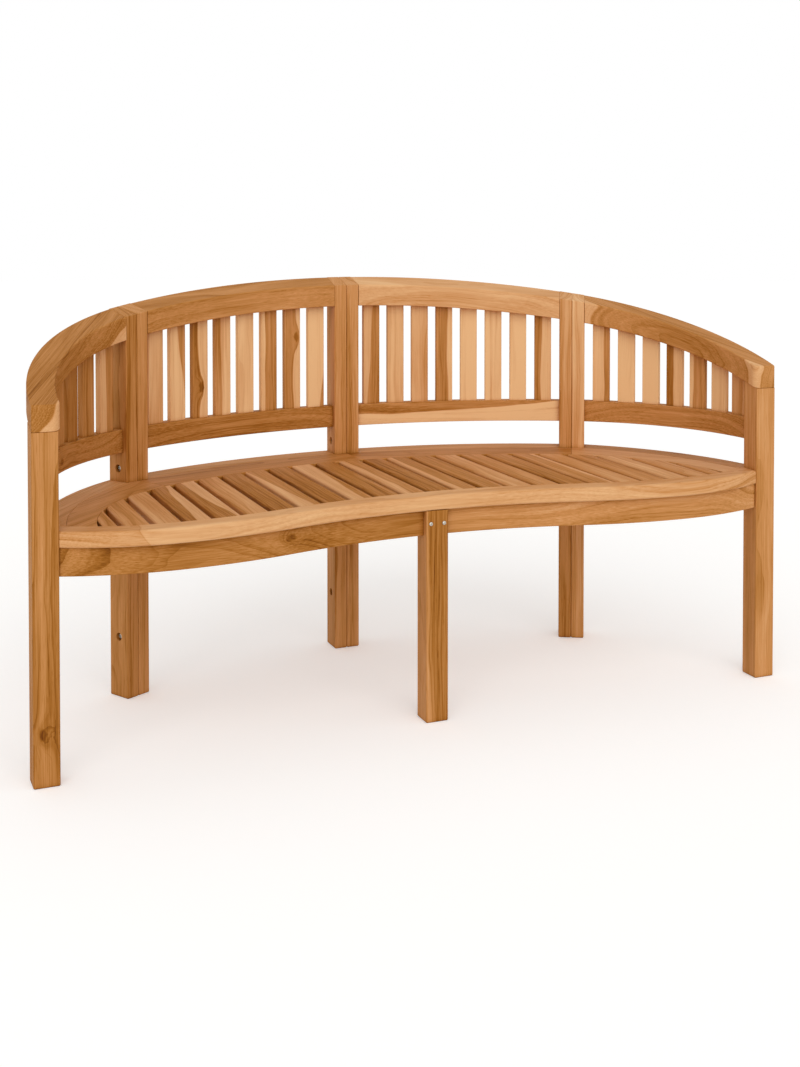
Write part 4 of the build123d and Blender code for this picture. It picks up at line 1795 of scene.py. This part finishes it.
def bare_material(name: str) -> Material:
    """Make a material whose node tree is empty.

    Args:
        name: Name of the material.

    Returns:
        The material, to be filled with nodes.
    """
    material = bpy.data.materials.new(name)
    material.use_nodes = True
    material.node_tree.nodes.clear()
    return material


def per_metre(*sizes: float) -> tuple[float, ...]:
    """Turn the size of a pattern, in mm each way, into texture scales."""
    return tuple(1 / (size * MM) for size in sizes)


def between(ends: Pair) -> dict[str, float]:
    """Inputs of a map range that starts and stops at two values."""
    return {"From Min": ends[0], "From Max": ends[1]}


@dataclass(frozen=True)
class SandedTeak:
    """Teak, planed and sanded, without oil or varnish.

    To the eye it is a warm tan with brown bands and thin dark lines that follow the rings, paler and
    pinker where the sapwood begins, with hardly any sheen and fine dark pores. The rings swell out round
    a knot. End grain drinks the light, so it is darker and shows the rings as arcs.

    Attributes:
        name: Name of the material.
        darken: Shade added to the wood all over.
        roughness: Roughness of the surface.
        rough_spread: How far the roughness differs from fibre to fibre.
        sheen: Strength of its reflection.
        relief: Strength of its fine relief.
        relief_mm: Depth of that relief.
        wander_mm: Size of the log's bends, along, across and out.
        wander_by_mm: How far it bends.
        ring_mm: Width of a year's ring.
        ring_depth: Shade of the dark line at the end of each year's ring.
        ring_power: How suddenly that line sets in.
        ring_fade: Values of the bands' noise between which the line fades in.
        drift_mm: Size of the changes in the rings' width, across and along them.
        drift_rings: How many rings those changes amount to.
        band_mm: Size of the soft bands.
        band_shade: Shade that they span in the heartwood.
        streak_mm: Size of the dark streaks.
        streak_fade: Values of their noise between which they fade in.
        streak_shade: Shade that a streak adds.
        sap_streak: Share of that in the sapwood.
        octave: Strength of each finer part of the rings' noise beside the last.
        fibre_mm: Size of the fibre bundles, drawn coarser than they are so that they show.
        fibre_shade: Shade that they span.
        fibre_relief: Their height beside that of the rings' lines.
        pore_mm: Size of the pores, drawn coarser than they are so that they show.
        pore_fade: Values of their noise between which they fade in.
        pore_shade: Shade that a pore adds.
        blotch_mm: Size of the soft changes of shade.
        blotch_shade: Shade that they span in the heartwood.
        sap_shade: Shade that these and the bands each span in the sapwood.
        contrast: Strength of lines, fibres and pores on the palest wood, and what it gains by the darkest.
        knot_mm: Reach of a knot, along and across.
        knot_swell_mm: How far the rings swell out round a knot.
        knot_ripple_mm: Size of the ripples in a knot's outline.
        knot_fade: Nearness to a knot between which its core fades in.
        knot_shade: Shade that the core adds.
        sap_edge_mm: Width of the change from heartwood to sapwood.
        rind_shade: Shade of the thin dark line between heartwood and sapwood.
        crevice_mm: Width of the joints and gaps that get painted shade, found by ambient occlusion.
        crevice_sky: Shares of open sky between which they fade out.
        crevice_samples: Rays that feel for the sky.
        grime_shade: Painted shade added in the depth of those.
        stops: Colours from the palest shade to the darkest.
    """

    name: str
    darken: float = -0.04
    roughness: float = 0.6
    rough_spread: float = 0.16
    sheen: float = 0.1
    relief: float = 0.2
    relief_mm: float = 0.5
    wander_mm: Triple = (260.0, 70.0, 70.0)
    wander_by_mm: float = 24.0
    ring_mm: float = 6.5
    ring_depth: float = 0.24
    ring_power: float = 3.5
    ring_fade: Pair = (0.34, 0.66)
    drift_mm: Pair = (30.0, 900.0)
    drift_rings: float = 4.0
    band_mm: Pair = (12.0, 900.0)
    band_shade: float = 0.32
    streak_mm: Pair = (24.0, 700.0)
    streak_fade: Pair = (0.55, 0.70)
    streak_shade: float = 0.3
    sap_streak: float = 0.6
    octave: float = 0.6
    fibre_mm: Triple = (150.0, 2.2, 2.2)
    fibre_shade: float = 0.46
    fibre_relief: float = 0.6
    pore_mm: Triple = (28.0, 1.5, 1.5)
    pore_fade: Pair = (0.60, 0.72)
    pore_shade: float = 0.12
    blotch_mm: Triple = (260.0, 60.0, 60.0)
    blotch_shade: float = 0.3
    sap_shade: float = 0.2
    contrast: Pair = (0.18, 1.6)
    knot_mm: Pair = (26.0, 15.0)
    knot_swell_mm: float = 15.0
    knot_ripple_mm: float = 12.0
    knot_fade: Pair = (0.74, 0.95)
    knot_shade: float = 0.3
    sap_edge_mm: float = 1.2
    rind_shade: float = 0.1
    crevice_mm: float = 16.0
    crevice_sky: Pair = (0.15, 0.8)
    crevice_samples: int = 6
    grime_shade: float = 0.34
    stops: tuple[tuple[float, str], ...] = (
        (0.0, "#F0C18C"),
        (0.15, "#DEA772"),
        (0.30, "#CD8F55"),
        (0.46, "#BA7D3F"),
        (0.62, "#A56826"),
        (0.77, "#905615"),
        (1.0, "#683206"),
    )

    def build(self) -> Material:
        """Make the material.

        Returns:
            A material that reads the planks' grain, grade, sapwood and knot.
        """
        material = bare_material(self.name)
        add = partial(add_node, material.node_tree)
        grain = add("Attribute", output="Vector", attribute_name="grain")
        near_knot = self.knot_reach(add, grain)
        ring = self.ring_place(add, grain, near_knot)
        bands = self.along_rings(add, ring, self.band_mm, detail=3.0)
        lines = self.ring_lines(add, ring, bands)
        fibres = self.in_wood(add, grain, self.fibre_mm, detail=2.0)
        pores = self.in_wood(add, grain, self.pore_mm, detail=1.0)
        pore = add("MapRange", {"Value": pores, **between(self.pore_fade), "To Max": self.pore_shade})
        plain, past = self.heart_and_sap(add, grain, ring, bands)
        texture = self.texture(add, lines, fibres, pore)
        least, gain = self.contrast
        strength = add("Math", {0: plain, 1: gain, 2: least}, operation="MULTIPLY_ADD")
        shade = add("Math", {0: texture, 1: strength, 2: plain}, operation="MULTIPLY_ADD")
        # grime adds painted shade in joints and gaps, where ambient occlusion finds little open sky.
        for more in (self.darken, self.rind(add, past), self.grime(add), self.knot_core(add, near_knot)):
            shade = add("Math", {0: shade, 1: more}, operation="ADD")
        ramp = add("ValToRGB", {"Fac": shade}, "Color")
        self.colour(ramp.node.color_ramp)

        smoothest = self.roughness - self.rough_spread * MEAN_NOISE
        rough = add("Math", {0: fibres, 1: self.rough_spread, 2: smoothest}, operation="MULTIPLY_ADD")
        height = add("Math", {0: fibres, 1: self.fibre_relief, 2: lines}, operation="MULTIPLY_ADD")
        height = add("Math", {0: height, 1: pore}, operation="SUBTRACT")
        relief = {"Height": height, "Strength": self.relief, "Distance": self.relief_mm * MM}
        normal = add("Bump", relief, "Normal")
        look = {"Base Color": ramp, "Roughness": rough, "Normal": normal, "Specular IOR Level": self.sheen}
        surface = add("BsdfPrincipled", look)
        add("OutputMaterial", {"Surface": surface})
        return material

    def heart_and_sap(
        self, add: AddNode, grain: NodeSocket, ring: NodeSocket, bands: NodeSocket
    ) -> tuple[NodeSocket, NodeSocket]:
        """Shade heartwood and sapwood, with their bands, soft changes and streaks.

        Args:
            add: Adds a node to the material.
            grain: Place in the log.
            ring: Distance from the pith, and place along the log.
            bands: Noise of the soft bands.

        Returns:
            The shade, and how far a point lies beyond the edge of the heartwood.
        """
        grade = add("Attribute", output="Vector", attribute_name="grade")
        tone = add("SeparateXYZ", {0: grade}, "X")
        sap_ring, streaky = tone.node.outputs["Y"], tone.node.outputs["Z"]
        sapwood = add("Attribute", output="Vector", attribute_name="sapwood")
        pale = add("SeparateXYZ", {0: sapwood}, "X")
        blotches = self.in_wood(add, grain, self.blotch_mm, detail=2.0)
        streaks = self.along_rings(add, ring, self.streak_mm, detail=3.0)
        dark = add(
            "MapRange",
            {"Value": streaks, **between(self.streak_fade), "To Max": self.streak_shade},
            interpolation_type="SMOOTHSTEP",
        )
        heart = self.mottled(add, tone, {bands: self.band_shade, blotches: self.blotch_shade})
        heart = add("Math", {0: dark, 1: streaky, 2: heart}, operation="MULTIPLY_ADD")
        sap = self.mottled(add, pale, {bands: self.sap_shade, blotches: self.sap_shade})
        faint = add("Math", {0: streaky, 1: self.sap_streak}, operation="MULTIPLY")
        sap = add("Math", {0: dark, 1: faint, 2: sap}, operation="MULTIPLY_ADD")
        radius = add("SeparateXYZ", {0: ring}, "X")
        past = add("Math", {0: radius, 1: sap_ring}, operation="SUBTRACT")
        edge = self.sap_edge_mm * MM
        beyond = {"Value": past, **between((-edge, edge))}
        share = add("MapRange", beyond, interpolation_type="SMOOTHSTEP")
        return add("Mix", {"Factor": share, "A": heart, "B": sap}, data_type="FLOAT"), past

    def mottled(self, add: AddNode, tone: NodeSocket, patterns: dict[NodeSocket, float]) -> NodeSocket:
        """Vary a shade by noise, without a change to its mean.

        Args:
            add: Adds a node to the material.
            tone: The even shade.
            patterns: Each noise, with the shade that it spans.

        Returns:
            The varied shade.
        """
        for noise, span in patterns.items():
            tone = add("Math", {0: noise, 1: span, 2: tone}, operation="MULTIPLY_ADD")
        mean = sum(patterns.values()) * MEAN_NOISE
        return add("Math", {0: tone, 1: mean}, operation="SUBTRACT")

    def texture(self, add: AddNode, lines: NodeSocket, fibres: NodeSocket, pore: NodeSocket) -> NodeSocket:
        """Add up what the rings' lines, the fibres and the pores change.

        Args:
            add: Adds a node to the material.
            lines: Dark line at the end of each ring.
            fibres: Noise of the fibres.
            pore: Shade of the pores.

        Returns:
            The shade that they add or take away.
        """
        dark = add("Math", {0: lines, 1: self.ring_depth}, operation="MULTIPLY")
        uneven = add("Math", {0: fibres, 1: MEAN_NOISE}, operation="SUBTRACT")
        dark = add("Math", {0: uneven, 1: self.fibre_shade, 2: dark}, operation="MULTIPLY_ADD")
        return add("Math", {0: dark, 1: pore}, operation="ADD")

    def rind(self, add: AddNode, past: NodeSocket) -> NodeSocket:
        """Draw the thin dark line between heartwood and sapwood.

        Args:
            add: Adds a node to the material.
            past: How far a point lies beyond the edge of the heartwood.

        Returns:
            The shade that it adds.
        """
        away = add("Math", {0: past}, operation="ABSOLUTE")
        reach = (0.0, 2 * self.sap_edge_mm * MM)
        fall = {"Value": away, **between(reach), "To Min": self.rind_shade, "To Max": 0.0}
        return add("MapRange", fall)

    def grime(self, add: AddNode) -> NodeSocket:
        """Paint shade into the depth of joints and gaps, where ambient occlusion finds little open sky.

        Args:
            add: Adds a node to the material.

        Returns:
            The painted shade that it adds.
        """
        reach = {"Distance": self.crevice_mm * MM}
        sky = add("AmbientOcclusion", reach, "AO", samples=self.crevice_samples)
        fall = {"Value": sky, **between(self.crevice_sky), "To Min": self.grime_shade, "To Max": 0.0}
        return add("MapRange", fall)

    def knot_core(self, add: AddNode, near_knot: NodeSocket) -> NodeSocket:
        """Shade that the core of a knot adds."""
        core = {"Value": near_knot, **between(self.knot_fade), "To Max": self.knot_shade}
        return add("MapRange", core, interpolation_type="SMOOTHSTEP")

    def knot_reach(self, add: AddNode, grain: NodeSocket) -> NodeSocket:
        """Find how near a point is to its plank's knot.

        Args:
            add: Adds a node to the material.
            grain: Place in the log.

        Returns:
            1 at the knot's heart, falling away unevenly to 0.
        """
        knot = add("Attribute", output="Vector", attribute_name="knot")
        ripples = {"Vector": grain, "Scale": 1 / (self.knot_ripple_mm * MM), "Detail": 2.0}
        ripple = add("TexNoise", ripples, "Color")
        ripple = add("VectorMath", {0: ripple, 1: (MEAN_NOISE,) * 3}, operation="SUBTRACT")
        by = self.knot_ripple_mm * MM
        uneven = add("VectorMath", {0: ripple, 1: (by, by, 0.0), 2: knot}, operation="MULTIPLY_ADD")
        scale = (*per_metre(*self.knot_mm), 0.0)
        share = add("VectorMath", {0: uneven, 1: scale}, operation="MULTIPLY")
        square = add("VectorMath", {0: share, 1: share}, "Value", operation="DOT_PRODUCT")
        fall = add("Math", {0: square, 1: -1.0}, operation="MULTIPLY")
        return add("Math", {0: fall}, operation="EXPONENT")

    def ring_place(self, add: AddNode, grain: NodeSocket, near_knot: NodeSocket) -> NodeSocket:
        """Find a point's place among the rings of a log that bends, and swells out round its knots.

        Args:
            add: Adds a node to the material.
            grain: Place in the log.
            near_knot: How near the point is to a knot.

        Returns:
            Its distance from the pith, and its place along the log.
        """
        wide = add("VectorMath", {0: grain, 1: per_metre(*self.wander_mm)}, operation="MULTIPLY")
        drift = add("TexNoise", {"Vector": wide, "Scale": 1.0, "Detail": 2.0}, "Color")
        drift = add("VectorMath", {0: drift, 1: (MEAN_NOISE,) * 3}, operation="SUBTRACT")
        by = self.wander_by_mm * MM
        bent = add("VectorMath", {0: drift, 1: (0.0, by, by), 2: grain}, operation="MULTIPLY_ADD")
        flat = add("VectorMath", {0: bent, 1: (0.0, 1.0, 1.0)}, operation="MULTIPLY")
        radius = add("VectorMath", {0: flat}, "Value", operation="LENGTH")
        swell = -self.knot_swell_mm * MM
        radius = add("Math", {0: near_knot, 1: swell, 2: radius}, operation="MULTIPLY_ADD")
        along = add("SeparateXYZ", {0: grain}, "X")
        return add("CombineXYZ", {"X": radius, "Y": along})

    def ring_lines(self, add: AddNode, ring: NodeSocket, bands: NodeSocket) -> NodeSocket:
        """Draw the thin dark line that ends each year's ring, of uneven width and strength.

        Args:
            add: Adds a node to the material.
            ring: Distance from the pith, and place along the log.
            bands: Noise of the soft bands.

        Returns:
            1 where a line is darkest, and 0 between the lines.
        """
        radius = add("SeparateXYZ", {0: ring}, "X")
        drift = self.along_rings(add, ring, self.drift_mm, detail=1.0)
        drift = add("Math", {0: drift, 1: self.drift_rings}, operation="MULTIPLY")
        year = add("Math", {0: radius, 1: 1 / (self.ring_mm * MM), 2: drift}, operation="MULTIPLY_ADD")
        share = add("Math", {0: year}, operation="FRACT")
        line = add("Math", {0: share, 1: self.ring_power}, operation="POWER")
        strength = add("MapRange", {"Value": bands, **between(self.ring_fade)})
        return add("Math", {0: line, 1: strength}, operation="MULTIPLY")

    def along_rings(self, add: AddNode, ring: NodeSocket, size: Pair, detail: float) -> NodeSocket:
        """Make noise that follows the rings.

        Args:
            add: Adds a node to the material.
            ring: Distance from the pith, and place along the log.
            size: Size of the pattern across and along the rings, in mm.
            detail: How many finer parts the noise has.

        Returns:
            The noise.
        """
        scale = (*per_metre(*size), 1.0)
        spot = add("VectorMath", {0: ring, 1: scale}, operation="MULTIPLY")
        noise = {"Vector": spot, "Scale": 1.0, "Detail": detail, "Roughness": self.octave}
        return add("TexNoise", noise, noise_dimensions="2D")

    def in_wood(self, add: AddNode, grain: NodeSocket, size: Triple, detail: float) -> NodeSocket:
        """Noise drawn out along the fibres, of a size each way in mm, and of finer parts."""
        spot = add("VectorMath", {0: grain, 1: per_metre(*size)}, operation="MULTIPLY")
        return add("TexNoise", {"Vector": spot, "Scale": 1.0, "Detail": detail})

    def colour(self, ramp: ColorRamp) -> None:
        """Set the colours of a ramp from the palest to the darkest wood.

        Args:
            ramp: A new ramp, with its first stops.
        """
        while len(ramp.elements) > 1:
            ramp.elements.remove(ramp.elements[-1])
        ramp.elements[0].position = self.stops[0][0]
        ramp.elements[0].color = linear(self.stops[0][1])
        for position, code in self.stops[1:]:
            ramp.elements.new(position).color = linear(code)


@dataclass(frozen=True)
class TumbledStainlessSteel:
    """Stainless steel, cold-headed and tumbled: a bright grey with a soft, slightly uneven gloss.

    Attributes:
        name: Name of the material.
        colour: Colour where it is brightest.
        dull: Colour of the tumbling marks.
        roughness: Roughness of the surface.
        rough_spread: How far the marks change the roughness.
        tumble_mm: Size of the tumbling marks.
    """

    name: str = "stainless_steel_tumbled"
    colour: str = "#CFCAC0"
    dull: str = "#AFA99E"
    roughness: float = 0.42
    rough_spread: float = 0.2
    tumble_mm: float = 1.6

    def build(self) -> Material:
        """Make the material.

        Returns:
            A material that needs nothing from its mesh.
        """
        material = bare_material(self.name)
        add = partial(add_node, material.node_tree)
        spot = add("TexCoord", output="Object")
        marks = add("TexNoise", {"Vector": spot, "Scale": 1 / (self.tumble_mm * MM), "Detail": 3.0})
        smoothest = self.roughness - self.rough_spread * MEAN_NOISE
        rough = add("Math", {0: marks, 1: self.rough_spread, 2: smoothest}, operation="MULTIPLY_ADD")
        greys = {"Factor": marks, "A": linear(self.colour), "B": linear(self.dull)}
        tint = add("Mix", greys, "Result", data_type="RGBA")
        surface = add("BsdfPrincipled", {"Base Color": tint, "Metallic": 1.0, "Roughness": rough})
        add("OutputMaterial", {"Surface": surface})
        return material


@dataclass(frozen=True)
class Studio:
    """A pale floor, soft light from all round with a broad lamp in front, and the camera.

    Attributes:
        white: Colour of the background and of the floor's glow.
        floor: Colour of the floor.
        floor_roughness: Roughness of the floor.
        floor_glow: Light added to the floor for the camera, so that it fades into the background.
        floor_reach: Radius of the floor, in mm.
        floor_step: Turn from one corner of the floor to the next, in degrees.
        world: Strength of the light from all round.
        lamp: Strength of the broad lamp.
        lamp_angle: Width of the lamp as the bench sees it, in degrees.
        lamp_turn: Lean and turn of the lamp, in degrees.
        sensor: Width of the camera's sensor, in mm.
        sight: How far the camera sees, in mm.
        camera_place: Place of the camera, in mm.
        camera_pitch: How far it looks down, in degrees.
        camera_yaw: How far it is turned to the right, in degrees.
        focal_pixels: Focal length, in pixels of the photograph.
        horizon_pixel: Row of the photograph that the camera's axis meets.
    """

    white: str = "#FFFFFF"
    floor: str = "#F4F3F1"
    floor_roughness: float = 0.9
    floor_glow: float = 0.3
    floor_reach: float = 16000.0
    floor_step: float = 5.0
    world: float = 0.62
    lamp: float = 1.25
    lamp_angle: float = 70.0
    lamp_turn: Pair = (62.0, -14.0)
    sensor: float = 36.0
    sight: float = 100000.0
    camera_place: Triple = (-1161.9, -2847.2, 1049.9)
    camera_pitch: float = 1.609
    camera_yaw: float = 22.585
    focal_pixels: float = 1428.2
    horizon_pixel: float = 240.0

    def build(self) -> None:
        """Set up the floor, the light, the background and the camera."""
        self.lay_floor()
        self.light()
        self.surround()
        self.camera()
        bpy.context.scene.view_settings.view_transform = "Standard"

    def seen_directly(self, add: AddNode) -> NodeSocket:
        """Tell the rays that show a surface from those that only take its light on.

        Args:
            add: Adds a node to a material or world.

        Returns:
            1 where a ray comes from the camera, a mirror or a lens, and otherwise 0.
        """
        seen = add("LightPath", output="Is Camera Ray")
        rays = seen.node.outputs
        for kind in ("Is Glossy Ray", "Is Transmission Ray"):
            seen = add("Math", {0: seen, 1: rays[kind]}, operation="MAXIMUM")
        return seen

    def lay_floor(self) -> None:
        """Lay a wide round floor at height 0."""
        turns = steps(0.0, 2 * pi, radians(self.floor_step))[:-1]
        rim = [Vector((cos(turn), sin(turn), 0.0)) * self.floor_reach * MM for turn in turns]
        mesh = bpy.data.meshes.new("floor")
        mesh.from_pydata(rim, [], [tuple(range(len(rim)))])
        floor = bpy.data.objects.new("floor", mesh)
        bpy.context.scene.collection.objects.link(floor)
        mesh.materials.append(self.painted_floor())

    def painted_floor(self) -> Material:
        """Make the floor's finish, matt white paint that keeps the bench's shadow.

        Returns:
            The material.
        """
        material = bare_material("matt_white_paint_rolled")
        add = partial(add_node, material.node_tree)
        glow = {0: self.seen_directly(add), 1: self.floor_glow}
        paint = {
            "Base Color": linear(self.floor),
            "Roughness": self.floor_roughness,
            "Specular IOR Level": 0.0,
            "Emission Color": linear(self.white),
            "Emission Strength": add("Math", glow, operation="MULTIPLY"),
        }
        add("OutputMaterial", {"Surface": add("BsdfPrincipled", paint)})
        return material

    def light(self) -> None:
        """Hang a broad soft lamp in front, above and a little to the left."""
        lamp = bpy.data.lights.new("broad_lamp", "SUN")
        lamp.energy = self.lamp
        lamp.angle = radians(self.lamp_angle)
        holder = bpy.data.objects.new("broad_lamp", lamp)
        holder.rotation_euler = (radians(self.lamp_turn[0]), 0.0, radians(self.lamp_turn[1]))
        bpy.context.scene.collection.objects.link(holder)

    def surround(self) -> None:
        """Light the bench evenly from all round, before a white background."""
        world = bpy.data.worlds.new("white_studio")
        world.use_nodes = True
        world.node_tree.nodes.clear()
        add = partial(add_node, world.node_tree)
        seen = {"Value": self.seen_directly(add), "To Min": self.world, "To Max": 1.0}
        light = add("Background", {"Color": linear(self.white), "Strength": add("MapRange", seen)})
        add("OutputWorld", {"Surface": light})
        bpy.context.scene.world = world

    def camera(self) -> None:
        """Stand the camera where the photograph was taken from."""
        long_side = max(PHOTO_SIZE)
        data = bpy.data.cameras.new("camera")
        data.sensor_width = self.sensor
        data.lens = self.focal_pixels / long_side * data.sensor_width
        data.shift_y = (self.horizon_pixel - PHOTO_SIZE[1] / 2) / long_side
        data.clip_end = self.sight * MM
        camera = bpy.data.objects.new("camera", data)
        camera.location = Vector(self.camera_place) * MM
        camera.rotation_euler = (radians(90.0 - self.camera_pitch), 0.0, radians(-self.camera_yaw))
        bpy.context.scene.collection.objects.link(camera)
        bpy.context.scene.camera = camera


def main() -> None:
    """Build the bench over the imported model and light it."""
    logging.basicConfig(level=logging.INFO, format="%(name)s: %(message)s")
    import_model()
    plan = BenchPlan()
    faces = SandedTeak("teak_sanded")
    ends = SandedTeak("teak_end_grain_sawn", darken=0.06, ring_depth=0.45)
    teak = [faces.build(), ends.build()]
    for assembly in (Posts, Legs, TopRails, LowerRails, BackSlats, SeatFrame, SeatSlats, UnderFrame):
        assembly(plan).dress(teak)
    Bolts(plan).dress(TumbledStainlessSteel().build())
    Studio().build()


if __name__ == "__main__":
    main()
